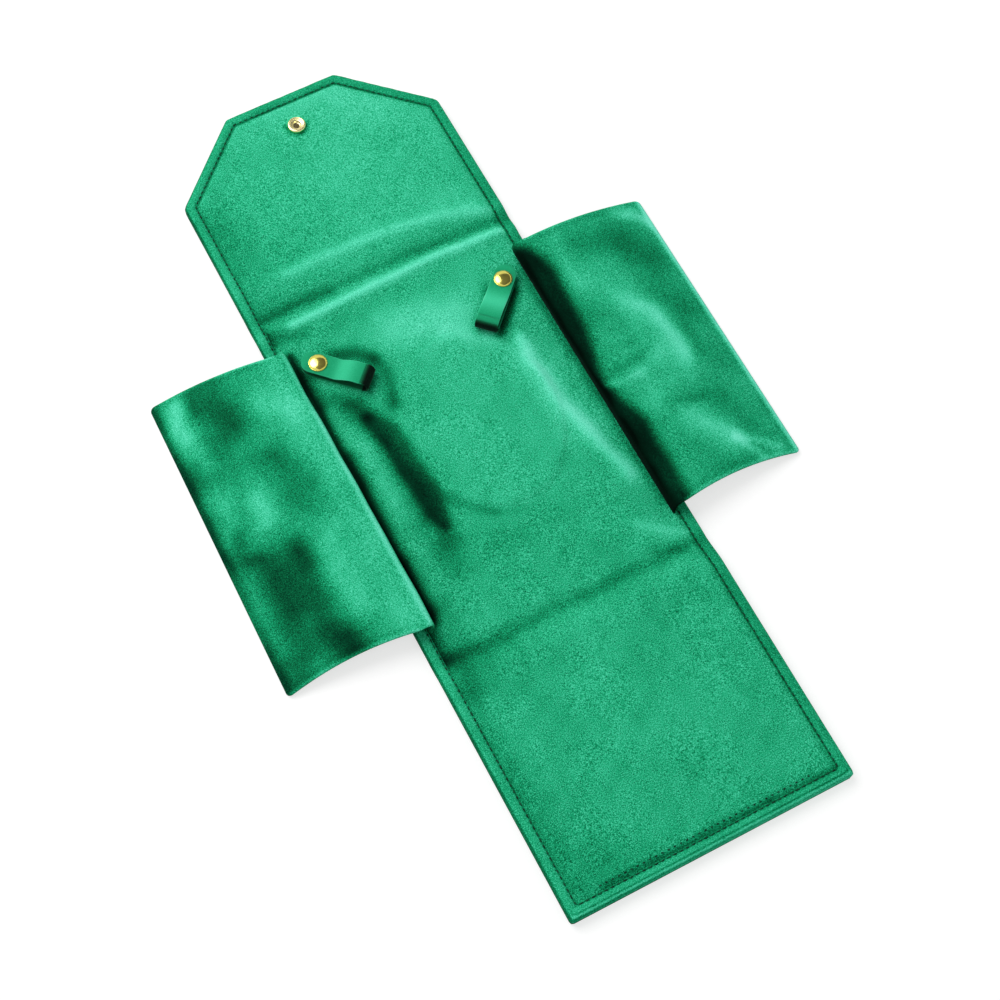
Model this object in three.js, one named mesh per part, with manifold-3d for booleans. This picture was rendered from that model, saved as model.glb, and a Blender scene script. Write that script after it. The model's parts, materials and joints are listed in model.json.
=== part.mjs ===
// Fold-up velvet jewelry pouch, lying open with its lining up.
// Millimetres. +X runs across the strip, +Y towards the snap flap, +Z up.
// The origin is under the middle of the back panel, on the surface the pouch lies on.
import * as THREE from 'three';
import { mergeVertices } from 'three/addons/utils/BufferGeometryUtils.js';
import Module from 'manifold-3d';

// Strip of three panels
const panelWidth = 125;
const foldSpacing = 169.4; // between the two fold lines, along Y
const foldLength = 28; // soft, unlined stretch at each fold
const flapReach = 106.8; // from the fold line to the end of the flap
const flapEndWidth = 53.6;
const flapCornerLength = 34.2; // of each cut corner, along Y
const frontPastStud = 33; // from the snap stud to the end of the front panel

// Layers
const coverThickness = 1;
const interliningThickness = 1.4;
const liningThickness = 1;
const hemThickness = 0.8;
const hemWidth = 5.5;
const threadInset = 4.7; // from the edge of a panel to the middle of its stitching
const threadWidth = 0.5;
const threadHeight = 0.35;
const fit = 0.3; // gap around a layer or a rivet that sits in another piece

// Creases across the folds
const upperRidge = 1.4;
const upperRidgeOffset = -3.1; // from the fold line, along Y
const upperCrease = 1;
const upperCreaseOffset = 3.1;
const lowerCrease = 1;

// Round stiffener under the back lining
const insertThickness = 0.8;
const insertRadius = 34;
const plateauSlope = 3; // the lining comes down to the panel over this width
const plateauOffset = 7; // of its middle, along X

// Side wings
const wingReach = 55.6; // from the crest to the outer edge
const wingEndGap = 0.7; // from the end of a wing to the end of the back panel
const wingSeamInset = 7.5; // from the edge of the panel to the inner face of the sewn root
const wingRootThickness = 1.3;
const crestInset = 2.5; // from the edge of the panel to the crest
const crestHeight = 12;
const wingRim = 1.9; // thickness at the sewn edges
const wingPuff = 1.4; // the wadding adds this at its thickest
const wingLift = 0.3; // of the outer edge above the surface it lies on
const wingSkin = 0.7;
const wingSag = 1.4; // power of the fall from crest to edge
const waddingInset = 3; // grid rows from the sewn edges to the wadding
const wingRows = 14;

// Snap loops
const loopInsetX = 18.4; // from the edge of the panel to the cap
const loopInsetY = 11.8; // from the end of the back panel to the cap
const loopAngle = 45; // of each ribbon to the panel's length
const loopReach = 24; // from the cap to the folded end
const loopTail = 7.5; // from the cap to the cut ends
const ribbonWidth = 10;
const ribbonThickness = 0.7;
const loopGap = 5.2; // between the two runs of ribbon, at the bend
const snapGap = 3; // between them at the snap
const snapFlat = 5; // the upper run lies level this far from the cap and then climbs to the bend
const loopSplit = 0.4; // slit between the bend and the run that opens
const plateauToLoop = 0.3;

// Snap fasteners
const capRadius = 4;
const capHeight = 1.4;
const capRim = 0.4;
const rivetRadius = 1;
const socketRadius = 4.2;
const socketHeight = 1.6; // of the flap's socket above the lining
const socketStemRadius = 2.6;
const socketFloor = 0.3;
const socketInset = 18.1; // from the end of the flap
const loopSocketRadius = 3.6;
const studRadius = 1.6;
const studFlangeRadius = 3.6;
const studFlange = 0.6;
const studHeight = 2.4; // of the front panel's stud, flange included
const studClearance = 0.4; // between a stud and its socket
const snapSlack = 0.2; // between a loop's socket and the flange of its stud
const eyeletRadius = 3.5;
const eyeletFlange = 0.6;
const roundSides = 20;

// Heights and places that follow
const halfWidth = panelWidth / 2;
const foldLine = foldSpacing / 2;
const backEnd = foldLine - foldLength / 2;
const panelStart = foldLine + foldLength / 2;
const flapEnd = foldLine + flapReach;
const flapShoulder = flapEnd - flapCornerLength;
const socketY = flapEnd - socketInset;
const studY = socketY - 4 * foldLine;
const frontEnd = frontPastStud - studY;
const liningBottom = coverThickness + interliningThickness;
const liningTop = liningBottom + liningThickness;
const hemTop = liningTop + hemThickness;
const flapRaise = capHeight;
const frontRaise = studHeight;
const wingEnd = backEnd - wingEndGap;
const crestX = halfWidth - crestInset;
const loopX = halfWidth - loopInsetX;
const loopY = backEnd - loopInsetY;
const loopTop = liningTop + 2 * ribbonThickness + loopGap;
const loopTurn = THREE.MathUtils.degToRad(loopAngle);
const bendRadius = ribbonThickness + loopGap / 2;
const bendStart = loopReach - bendRadius;
const loopSocketHeight = snapGap - studFlange - snapSlack;
const loopStudHeight = snapGap - socketFloor - fit;

const velvet = new THREE.MeshStandardMaterial({ color: 0x14915f, roughness: 0.9 });
const liningVelvet = new THREE.MeshStandardMaterial({ color: 0x28b478, roughness: 0.9 });
const felt = new THREE.MeshStandardMaterial({ color: 0xd8d4c8, roughness: 1 });
const wadding = new THREE.MeshStandardMaterial({ color: 0xeceae4, roughness: 1 });
const card = new THREE.MeshStandardMaterial({ color: 0xb8a98a, roughness: 0.95 });
const ribbon = new THREE.MeshStandardMaterial({ color: 0x1f9c68, roughness: 0.6 });
const thread = new THREE.MeshStandardMaterial({ color: 0x0b4a30, roughness: 0.8 });
const brass = new THREE.MeshStandardMaterial({ color: 0xd9b25a, roughness: 0.2, metalness: 1 });

const wasm = await Module();
wasm.setup();

// A solid for cutting and joining, from a closed geometry.
function solidOf(geometry) {
  const bare = geometry.clone();
  bare.deleteAttribute('normal');
  bare.deleteAttribute('uv');
  const merged = mergeVertices(bare);
  return new wasm.Manifold(new wasm.Mesh({
    numProp: 3,
    vertProperties: merged.attributes.position.array,
    triVerts: new Uint32Array(merged.index.array),
  }));
}

function geometryOf(solid) {
  const mesh = solid.getMesh();
  const geometry = new THREE.BufferGeometry();
  geometry.setAttribute('position', new THREE.BufferAttribute(mesh.vertProperties, 3));
  geometry.setIndex(new THREE.BufferAttribute(mesh.triVerts, 1));
  geometry.computeVertexNormals();
  return geometry;
}

function piece(name, geometry, material) {
  const mesh = new THREE.Mesh(geometry, material);
  mesh.name = name;
  return mesh;
}

function extrude(points, depth) {
  const shape = new THREE.Shape(points.map(([x, y]) => new THREE.Vector2(x, y)));
  return new THREE.ExtrudeGeometry(shape, { depth, bevelEnabled: false });
}

// A flat outline of [x, y] points, filled between two heights.
function slab(outline, bottom, top) {
  return extrude(outline, top - bottom).translate(0, 0, bottom);
}

// A section of [y, z] points, run across from one x to another.
function crossPiece(section, fromX, toX) {
  const alongX = new THREE.Matrix4().makeBasis(
    new THREE.Vector3(0, 1, 0),
    new THREE.Vector3(0, 0, 1),
    new THREE.Vector3(1, 0, 0),
  );
  return extrude(section, toX - fromX).applyMatrix4(alongX).translate(fromX, 0, 0);
}

// A section of [x, z] points, run lengthways from -halfLength to halfLength.
function longPiece(section, halfLength) {
  const alongY = new THREE.Matrix4().makeBasis(
    new THREE.Vector3(1, 0, 0),
    new THREE.Vector3(0, 0, 1),
    new THREE.Vector3(0, -1, 0),
  );
  return extrude(section, 2 * halfLength).applyMatrix4(alongY).translate(0, halfLength, 0);
}

// A turned piece from [radius, height] points, standing on +Z.
function turned(profile) {
  const points = profile.map(([radius, height]) => new THREE.Vector2(radius, height));
  return new THREE.LatheGeometry(points, roundSides).rotateX(Math.PI / 2);
}

function drum(radius, bottom, top) {
  return turned([[0, bottom], [radius, bottom], [radius, top], [0, top]]);
}

// A closed sheet over stations in x and y, between an upper and a lower height.
function sheet(xs, ys, upper, lower) {
  const position = [];
  const index = [];
  for (const height of [upper, lower]) {
    for (const y of ys) {
      for (const x of xs) {
        position.push(x, y, height(x, y));
      }
    }
  }
  const lastX = xs.length - 1;
  const lastY = ys.length - 1;
  const top = (i, j) => j * xs.length + i;
  const under = (i, j) => top(i, j) + xs.length * ys.length;
  const quad = (a, b, c, d) => index.push(a, b, c, a, c, d);
  for (let i = 0; i < lastX; i += 1) {
    for (let j = 0; j < lastY; j += 1) {
      quad(top(i, j), top(i + 1, j), top(i + 1, j + 1), top(i, j + 1));
      quad(under(i, j), under(i, j + 1), under(i + 1, j + 1), under(i + 1, j));
    }
    quad(under(i, 0), under(i + 1, 0), top(i + 1, 0), top(i, 0));
    quad(under(i + 1, lastY), under(i, lastY), top(i, lastY), top(i + 1, lastY));
  }
  for (let j = 0; j < lastY; j += 1) {
    quad(under(0, j + 1), under(0, j), top(0, j), top(0, j + 1));
    quad(under(lastX, j), under(lastX, j + 1), top(lastX, j + 1), top(lastX, j));
  }
  const geometry = new THREE.BufferGeometry();
  geometry.setAttribute('position', new THREE.Float32BufferAttribute(position, 3));
  geometry.setIndex(index);
  geometry.computeVertexNormals();
  return geometry;
}

// Outlines of the three panels, drawn in by an inset on the hemmed sides.
// The sides without a hem, at the folds, move out by an overrun.
function backOutline(inset, overrun = 0) {
  const x = halfWidth - inset;
  const y = backEnd + overrun;
  return [[-x, -y], [x, -y], [x, y], [-x, y]];
}

function flapOutline(inset, overrun = 0) {
  const x = halfWidth - inset;
  const cornerTurn = Math.atan2(halfWidth - flapEndWidth / 2, flapCornerLength);
  const shoulder = flapShoulder - inset * Math.tan(cornerTurn / 2);
  const endX = flapEndWidth / 2 - inset * Math.tan(Math.PI / 4 - cornerTurn / 2);
  const start = panelStart - overrun;
  const end = flapEnd - inset;
  return [[-x, start], [x, start], [x, shoulder], [endX, end], [-endX, end], [-x, shoulder]];
}

function frontOutline(inset, overrun = 0) {
  const x = halfWidth - inset;
  const start = -panelStart + overrun;
  const end = -frontEnd + inset;
  return [[x, start], [-x, start], [-x, end], [x, end]];
}

// Outer velvet of a panel, turned over the lining as a hem along its edges.
function cover(outline, raise) {
  const whole = solidOf(slab(outline(0), raise, raise + hemTop));
  const pocket = slab(outline(coverThickness, 1), raise + coverThickness, raise + liningTop);
  const mouth = slab(outline(hemWidth, 1), raise + liningTop - fit, raise + hemTop + 1);
  return whole.subtract(solidOf(pocket)).subtract(solidOf(mouth));
}

function interlining(outline, raise) {
  return solidOf(slab(outline(coverThickness + fit), raise + coverThickness, raise + liningBottom));
}

function lining(outline, raise) {
  return solidOf(slab(outline(coverThickness + fit), raise + liningBottom, raise + liningTop));
}

// Row of top stitching on a hem, from one fold end round to the other.
function stitching(outline, raise) {
  const outer = outline(threadInset - threadWidth / 2);
  const inner = outline(threadInset + threadWidth / 2);
  const [outerStart, ...outerRest] = outer;
  const [innerStart, ...innerRest] = inner;
  const path = [...outerRest, outerStart, innerStart, ...innerRest.reverse()];
  return slab(path, raise + hemTop, raise + hemTop + threadHeight);
}

// Domed cap with its rivet, from the fabric face at height 0.
function snapCap(rivetLength) {
  const dome = [];
  const steps = 5;
  for (let step = 0; step < steps; step += 1) {
    const turn = (step / steps) * Math.PI / 2;
    dome.push([capRadius * Math.sin(turn), capRim + (capHeight - capRim) * Math.cos(turn)]);
  }
  const rim = [[capRadius, capRim], [capRadius, 0], [rivetRadius, 0]];
  return turned([...dome, ...rim, [rivetRadius, -rivetLength], [0, -rivetLength]].reverse());
}

// Stud with a rounded head, standing on its flange from height 0.
function stud(height) {
  const neck = studRadius - fit;
  const headBottom = studFlange + (height - studFlange) / 3;
  const headTop = height - studRadius / 3;
  return turned([
    [0, 0], [studFlangeRadius, 0], [studFlangeRadius, studFlange], [neck, studFlange],
    [neck, headBottom], [studRadius, headBottom + fit], [studRadius, headTop], [neck, height],
    [0, height],
  ]);
}

const pouch = new THREE.Group();

// Back panel
const plateauHeight = insertThickness + fit;
const plateauRadius = insertRadius + plateauSlope;
const loopEndX = loopX - loopReach * Math.sin(loopTurn);
const loopEndY = loopY - loopReach * Math.cos(loopTurn);
const plateauReach = plateauRadius + ribbonWidth / 2 + plateauToLoop;
const plateauY = loopEndY - Math.sqrt(plateauReach ** 2 - (loopEndX - plateauOffset) ** 2);
const plateau = turned([
  [0, liningBottom], [plateauRadius, liningBottom], [plateauRadius, liningTop],
  [insertRadius, liningTop + plateauHeight], [0, liningTop + plateauHeight],
]).translate(plateauOffset, plateauY, 0);
const recess = drum(insertRadius + fit, liningBottom - 1, liningBottom + plateauHeight);
const insert = drum(insertRadius, liningBottom, liningBottom + insertThickness);
const backLining = lining(backOutline, 0)
  .add(solidOf(plateau))
  .subtract(solidOf(recess.translate(plateauOffset, plateauY, 0)));
pouch.add(
  piece('back_cover', geometryOf(cover(backOutline, 0)), velvet),
  piece('back_interlining', geometryOf(interlining(backOutline, 0)), felt),
  piece('round_insert', insert.translate(plateauOffset, plateauY, 0), card),
  piece('back_lining', geometryOf(backLining), liningVelvet),
);
for (const [side, sign] of [['left', -1], ['right', 1]]) {
  const row = [-1, 1].map((edge) => sign * (halfWidth - threadInset) + edge * threadWidth / 2);
  const section = [[row[0], hemTop], [row[1], hemTop], [row[1], hemTop + threadHeight],
    [row[0], hemTop + threadHeight]];
  pouch.add(piece(`${side}_side_stitching`, longPiece(section, backEnd), thread));
}

// Soft stretches of cover and lining at the folds, which bridge the step to the raised panels.
// A fold's lining has its creases as [offset from the fold line, height above the lining].
function addFold(name, direction, raise, creases) {
  const base = [[backEnd, 0], [foldLine, 0], [panelStart, raise]];
  const lifted = (height) => base.map(([y, z]) => [y, z + height]).reverse();
  const place = (section) => section.map(([y, z]) => [direction * y, z]);
  const bare = solidOf(crossPiece(place([...base, ...lifted(coverThickness)]), -halfWidth, halfWidth));
  const hems = [[-halfWidth, hemWidth - halfWidth], [halfWidth - hemWidth, halfWidth]]
    .map(([from, to]) => solidOf(crossPiece(place([...base, ...lifted(hemTop)]), from, to)));
  const liningX = halfWidth - hemWidth - fit;
  const floor = lifted(coverThickness + fit).reverse();
  const top = [
    [panelStart, raise + liningTop],
    ...creases.map(([offset, height]) => [foldLine + offset, liningTop + height]),
    [backEnd, liningTop],
  ];
  pouch.add(
    piece(`${name}_fold_cover`, geometryOf(bare.add(hems[0]).add(hems[1])), velvet),
    piece(`${name}_fold_lining`, crossPiece(place([...floor, ...top]), -liningX, liningX), liningVelvet),
  );
}
addFold('upper', 1, flapRaise, [[upperCreaseOffset, -upperCrease], [upperRidgeOffset, upperRidge]]);
addFold('lower', -1, frontRaise, [[0, -lowerCrease]]);

// Snap flap, lying on its cap
const rivetHole = rivetRadius + fit;
const socketBase = flapRaise + liningBottom;
const flapLining = flapRaise + liningTop;
const flapHole = solidOf(drum(rivetHole, 0, flapLining).translate(0, socketY, 0));
const stemHole = solidOf(drum(socketStemRadius + fit, socketBase - 1, flapLining + 1).translate(0, socketY, 0));
const socketProfile = [
  [0, socketBase], [socketStemRadius, socketBase], [socketStemRadius, flapLining],
  [socketRadius, flapLining], [socketRadius, flapLining + socketHeight / 2],
  [socketRadius - socketHeight / 3, flapLining + socketHeight],
  [studRadius + studClearance, flapLining + socketHeight],
  [studRadius + studClearance, socketBase + socketFloor], [0, socketBase + socketFloor],
];
const flapCap = snapCap(socketBase - flapRaise).rotateX(Math.PI).translate(0, socketY, flapRaise);
pouch.add(
  piece('flap_cover', geometryOf(cover(flapOutline, flapRaise).subtract(flapHole)), velvet),
  piece('flap_interlining', geometryOf(interlining(flapOutline, flapRaise).subtract(flapHole)), felt),
  piece('flap_lining', geometryOf(lining(flapOutline, flapRaise).subtract(stemHole)), liningVelvet),
  piece('flap_stitching', stitching(flapOutline, flapRaise), thread),
  piece('flap_snap_socket', turned(socketProfile).translate(0, socketY, 0), brass),
  piece('flap_snap_cap', flapCap, brass),
);

// Front panel, lying on its snap stud
const frontInside = frontRaise + coverThickness;
const frontHole = solidOf(drum(rivetHole, 0, frontInside + 1).translate(0, studY, 0));
const eyeletHole = drum(eyeletRadius + fit, frontInside - 1, frontRaise + liningBottom + 1);
const eyelet = turned([
  [0, frontRaise], [rivetRadius, frontRaise], [rivetRadius, frontInside], [eyeletRadius, frontInside],
  [eyeletRadius, frontInside + eyeletFlange], [0, frontInside + eyeletFlange],
]);
const frontFelt = interlining(frontOutline, frontRaise).subtract(solidOf(eyeletHole.translate(0, studY, 0)));
pouch.add(
  piece('front_cover', geometryOf(cover(frontOutline, frontRaise).subtract(frontHole)), velvet),
  piece('front_interlining', geometryOf(frontFelt), felt),
  piece('front_lining', geometryOf(lining(frontOutline, frontRaise)), liningVelvet),
  piece('front_stitching', stitching(frontOutline, frontRaise), thread),
  piece('front_snap_stud', stud(studHeight).rotateX(Math.PI).translate(0, studY, frontRaise), brass),
  piece('front_snap_eyelet', eyelet.translate(0, studY, 0), brass),
);

// Side wings: a sewn root that stands up from the panel, and a padded flap that falls from its crest
function addWing(side, sign) {
  const rootX = halfWidth - wingSeamInset;
  const rootTop = crestX - fit;
  const section = [
    [rootX, liningTop], [rootX + wingRootThickness, liningTop],
    [rootTop, crestHeight - wingRim], [rootTop, crestHeight - fit],
    [rootTop - wingRootThickness, crestHeight - fit],
  ].map(([x, z]) => [sign * x, z]);
  const share = (x) => (Math.abs(x) - crestX) / wingReach;
  const thickness = (x, y) => wingRim + wingPuff * (1 - share(x) ** 4) * (1 - (y / wingEnd) ** 6);
  const highest = crestHeight - (wingRim + wingPuff) / 2;
  const lowest = wingLift + wingRim / 2;
  const middle = (x) => highest - (highest - lowest) * share(x) ** wingSag;
  const face = (depth) => (x, y) => middle(x) + thickness(x, y) / 2 - depth;
  const back = (depth) => (x, y) => middle(x) - thickness(x, y) / 2 + depth;
  const xs = [];
  const ys = [];
  for (let row = 0; row <= wingRows; row += 1) {
    xs.push(sign * (crestX + fit + (wingReach - fit) * (row / wingRows)));
    ys.push(wingEnd * Math.sin((row / wingRows - 0.5) * Math.PI));
  }
  xs.sort((a, b) => a - b);
  const inner = (stations) => stations.slice(waddingInset, -waddingInset);
  const waddingDepth = wingSkin + fit;
  pouch.add(
    piece(`${side}_wing_root`, longPiece(section, wingEnd), velvet),
    piece(`${side}_wing_face`, sheet(xs, ys, face(0), face(wingSkin)), velvet),
    piece(`${side}_wing_wadding`, sheet(inner(xs), inner(ys), face(waddingDepth), back(waddingDepth)), wadding),
    piece(`${side}_wing_back`, sheet(xs, ys, back(wingSkin), back(0)), velvet),
  );
}
addWing('left', -1);
addWing('right', 1);

// Snap loops: a ribbon sewn down at the corner, bent over and snapped back on itself.
// A loop is drawn along +X from its cap and then turned to its corner.
function addLoop(side, sign) {
  const loop = new THREE.Group();
  const runTop = liningTop + ribbonThickness;
  const bendZ = liningTop + bendRadius;
  const steps = 8;
  const arc = (radius, turn) => [bendStart + radius * Math.sin(turn), bendZ - radius * Math.cos(turn)];
  const turns = Array.from({ length: steps + 1 }, (_, step) => (step / steps) * Math.PI);
  const outside = turns.map((turn) => arc(bendRadius, turn));
  const inside = turns.map((turn) => arc(bendRadius - ribbonThickness, turn)).reverse();
  const base = [[-loopTail, liningTop], ...outside, ...inside, [-loopTail, runTop]];
  const armBottom = runTop + snapGap;
  const armTop = armBottom + ribbonThickness;
  const armEnd = bendStart - loopSplit;
  const armSection = [
    [-loopTail, armBottom], [snapFlat, armBottom], [armEnd, loopTop - ribbonThickness],
    [armEnd, loopTop], [snapFlat, armTop], [-loopTail, armTop],
  ];
  const arm = solidOf(longPiece(armSection, ribbonWidth / 2))
    .subtract(solidOf(drum(rivetHole, armBottom - 1, armTop + 1)));
  const bore = studRadius + studClearance;
  const socketMouth = armBottom - loopSocketHeight;
  const boreTop = runTop + loopStudHeight + fit;
  const socket = turned([
    [0, boreTop], [bore, boreTop], [bore, socketMouth], [loopSocketRadius, socketMouth],
    [loopSocketRadius, armBottom], [0, armBottom],
  ]);
  loop.add(
    piece(`${side}_loop_base`, longPiece(base, ribbonWidth / 2), ribbon),
    piece(`${side}_loop_stud`, stud(loopStudHeight).translate(0, 0, runTop), brass),
    piece(`${side}_loop_arm`, geometryOf(arm), ribbon),
    piece(`${side}_loop_socket`, socket, brass),
    piece(`${side}_loop_cap`, snapCap(ribbonThickness).translate(0, 0, armTop), brass),
  );
  loop.position.set(sign * loopX, loopY, 0);
  loop.rotation.z = -Math.PI / 2 - sign * loopTurn;
  pouch.add(loop);
}
addLoop('left', -1);
addLoop('right', 1);

export default pouch;
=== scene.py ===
import json
import math

import bmesh
import bpy
import numpy as np
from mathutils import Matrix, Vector


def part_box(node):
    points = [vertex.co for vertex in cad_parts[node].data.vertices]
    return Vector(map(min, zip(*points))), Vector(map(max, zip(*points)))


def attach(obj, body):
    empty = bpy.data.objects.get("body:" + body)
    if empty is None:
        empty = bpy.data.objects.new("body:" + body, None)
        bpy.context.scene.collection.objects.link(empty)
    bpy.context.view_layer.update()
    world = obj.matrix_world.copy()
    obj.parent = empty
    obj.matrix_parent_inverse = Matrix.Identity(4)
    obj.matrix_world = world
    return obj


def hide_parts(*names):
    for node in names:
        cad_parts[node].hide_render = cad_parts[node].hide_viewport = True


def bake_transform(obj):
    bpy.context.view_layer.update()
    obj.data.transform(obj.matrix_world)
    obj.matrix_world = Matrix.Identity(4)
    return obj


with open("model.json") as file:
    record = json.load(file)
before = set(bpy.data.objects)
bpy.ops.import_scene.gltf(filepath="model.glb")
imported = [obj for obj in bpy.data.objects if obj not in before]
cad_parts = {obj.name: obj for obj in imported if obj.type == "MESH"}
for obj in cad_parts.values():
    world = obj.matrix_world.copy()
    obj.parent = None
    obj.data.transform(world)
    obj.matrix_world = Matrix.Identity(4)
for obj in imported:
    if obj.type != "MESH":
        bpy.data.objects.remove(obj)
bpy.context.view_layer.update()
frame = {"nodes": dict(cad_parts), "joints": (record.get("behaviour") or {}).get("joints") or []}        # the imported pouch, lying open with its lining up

mm = 0.001  # shapes below are written in millimetres
sides = {"left": -1, "right": 1}  # each side's name, and where it lies along X
scene = bpy.context.scene
print("frame loaded:", len(frame["nodes"]), "nodes")


def hexColor(text):
    parts = [int(text[i:i + 2], 16) / 255 for i in (1, 3, 5)]
    linear = [c / 12.92 if c <= 0.04045 else ((c + 0.055) / 1.055) ** 2.4 for c in parts]
    return (*linear, 1.0)


def boxMm(node):
    low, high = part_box(node)
    return low / mm, high / mm


def middleOf(node):
    low, high = boxMm(node)
    return ((low.x + high.x) / 2, (low.y + high.y) / 2), low.z, high.z


def jointAxis(name):
    joint = next(j for j in frame["joints"] if j["name"] == name)
    return [value / mm for value in joint["pos_m"]]


def mix(first, last, share):
    return first + (last - first) * share


# Soft step from 0 at the start to 1
def ease(value, start=0.0, over=1.0):
    t = np.clip((value - start) / over, 0, 1)
    return t * t * (3 - 2 * t)


# Soft bands, each as (amount, middle, half width), added up at a value
def bandsAt(value, *bands):
    return sum(amount * np.exp(-((value - middle) / width) ** 2) for amount, middle, width in bands)


# Rise of a quarter circle, from 0 at its start to 1 after its radius
def quarterRound(distance, radius):
    return np.sqrt(1 - (1 - np.minimum(distance, radius) / radius) ** 2)


# Camera at the photograph's viewing angle
view = {
    "lens": 73.0, "sensor": 36.0,
    "azimuth": -27.72, "elevation": 65.66, "distance": 832.4,
    "target": (-4.9, -31.5, 4.5),
}


def makeCamera():
    turn = math.radians(view["azimuth"])
    rise = math.radians(view["elevation"])
    back = Vector((math.sin(turn) * math.cos(rise), -math.cos(turn) * math.cos(rise), math.sin(rise)))
    data = bpy.data.cameras.new("camera")
    data.lens = view["lens"]
    data.sensor_width = view["sensor"]
    camera = bpy.data.objects.new("camera", data)
    camera.location = (Vector(view["target"]) + back * view["distance"]) * mm
    camera.rotation_mode = "QUATERNION"
    camera.rotation_quaternion = (-back).to_track_quat("-Z", "Y")
    scene.collection.objects.link(camera)
    scene.camera = camera


makeCamera()
print("camera set")


# One node with its own settings, its input values and its links
def addNode(tree, kind, inputs=None, **settings):
    node = tree.nodes.new(kind)
    for name, value in settings.items():
        setattr(node, name, value)
    for name, value in (inputs or {}).items():
        if isinstance(value, bpy.types.NodeSocket):
            tree.links.new(value, node.inputs[name])
        else:
            node.inputs[name].default_value = value
    return node


def newMaterial(name):
    material = bpy.data.materials.new(name)
    material.use_nodes = True
    material.node_tree.nodes.clear()
    return material, material.node_tree


# Ends a material with one shader that has these values
def shade(material, values):
    shader = addNode(material.node_tree, "ShaderNodeBsdfPrincipled", values)
    addNode(material.node_tree, "ShaderNodeOutputMaterial", {"Surface": shader.outputs["BSDF"]})
    return material


# Colours of a ramp, as (place, colour) from its start at 0 to its end at 1
def fillRamp(ramp, tones):
    stops = ramp.color_ramp.elements
    for place, color in tones[1:-1]:
        stops.new(place).color = hexColor(color)
    stops[0].color = hexColor(tones[0][1])
    stops[-1].color = hexColor(tones[-1][1])


# Short pile velvet, woven, dyed and pressed: matt fibres that stand up, with a pale bloom where it is
# seen along its edge. Its colour runs along a ramp from near black to mint, and each piece's tone, from -1
# to 1, picks the place: painted shade and painted highlights for the light on the pile, and its own drift.
velvetLook = {
    "tones": [
        (0.0, "#000a05"), (0.1, "#012114"), (0.2, "#034028"), (0.3, "#09653e"), (0.4, "#0f895a"),
        (0.5, "#1aab76"), (0.6, "#32c28f"), (0.7, "#49d3a5"), (0.8, "#5ae2b9"), (1.0, "#7cf4d3"),
    ],
    # tufts of pile, coarser than real ones so that they show, mottles and strokes of a brush: size across
    # and along the strip in mm, detail and roughness
    "patterns": [(0.42, 0.42, 1.0, 0.6), (14.0, 14.0, 3.0, 0.55), (5.0, 26.0, 2.0, 0.5)],
    "bumpMm": 0.22, "bloom": "#9ff5cf",
}


def velvet(name, grain, mottle, brush, sheen):
    material, tree = newMaterial(name)
    place = addNode(tree, "ShaderNodeTexCoord").outputs["Object"]
    toneAndPaintedLight = addNode(tree, "ShaderNodeAttribute", attribute_name="toneAndPaintedLight").outputs["Fac"]
    patterns = []
    for wide, long, detail, roughness in velvetLook["patterns"]:
        stretched = addNode(tree, "ShaderNodeMapping", {
            "Vector": place, "Scale": (1 / (wide * mm), 1 / (long * mm), 1 / (wide * mm)),
        }).outputs["Vector"]
        patterns.append(addNode(tree, "ShaderNodeTexNoise", {
            "Vector": stretched, "Scale": 1.0, "Detail": detail, "Roughness": roughness,
        }).outputs["Fac"])
    # the tone of painted light and shade, -1 to 1, becomes 0 to 1, and the tufts show less in the painted
    # shade
    tone = addNode(tree, "ShaderNodeMath", {0: toneAndPaintedLight, 1: 0.5, 2: 0.5}, operation="MULTIPLY_ADD")
    lit = addNode(tree, "ShaderNodeMath", {0: tone.outputs[0], 1: 2.0}, operation="MULTIPLY", use_clamp=True)
    speckle = addNode(tree, "ShaderNodeMath", {0: lit.outputs[0], 1: grain}, operation="MULTIPLY")
    for pattern, amount in zip(patterns, (speckle.outputs[0], mottle, brush)):
        centred = addNode(tree, "ShaderNodeMath", {0: pattern, 1: 0.5}, operation="SUBTRACT")
        tone = addNode(tree, "ShaderNodeMath", {
            0: centred.outputs[0], 1: amount, 2: tone.outputs[0],
        }, operation="MULTIPLY_ADD")
    ramp = addNode(tree, "ShaderNodeValToRGB", {"Fac": tone.outputs[0]})
    fillRamp(ramp, velvetLook["tones"])
    bump = addNode(tree, "ShaderNodeBump", {
        "Height": patterns[0], "Strength": 0.55, "Distance": velvetLook["bumpMm"] * mm,
    })
    return shade(material, {
        "Base Color": ramp.outputs["Color"], "Normal": bump.outputs["Normal"],
        "Roughness": 0.95, "IOR": 1.5, "Specular IOR Level": 0.02,
        "Sheen Weight": sheen, "Sheen Roughness": 0.35, "Sheen Tint": hexColor(velvetLook["bloom"]),
    })


# Faux suede ribbon, knitted, brushed and cut: an even short pile with faint rubbing, its colour set by a
# tone of painted shade and highlight.
suedeLook = {
    "tones": [(0.0, "#000b06"), (0.25, "#0a5435"), (0.5, "#1ea874"), (0.75, "#3fd09c"), (1.0, "#74ecc2")],
    "fluffMm": 0.5, "rubbing": 0.16, "bumpMm": 0.08, "bloom": "#9ff5cf",
}


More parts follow.
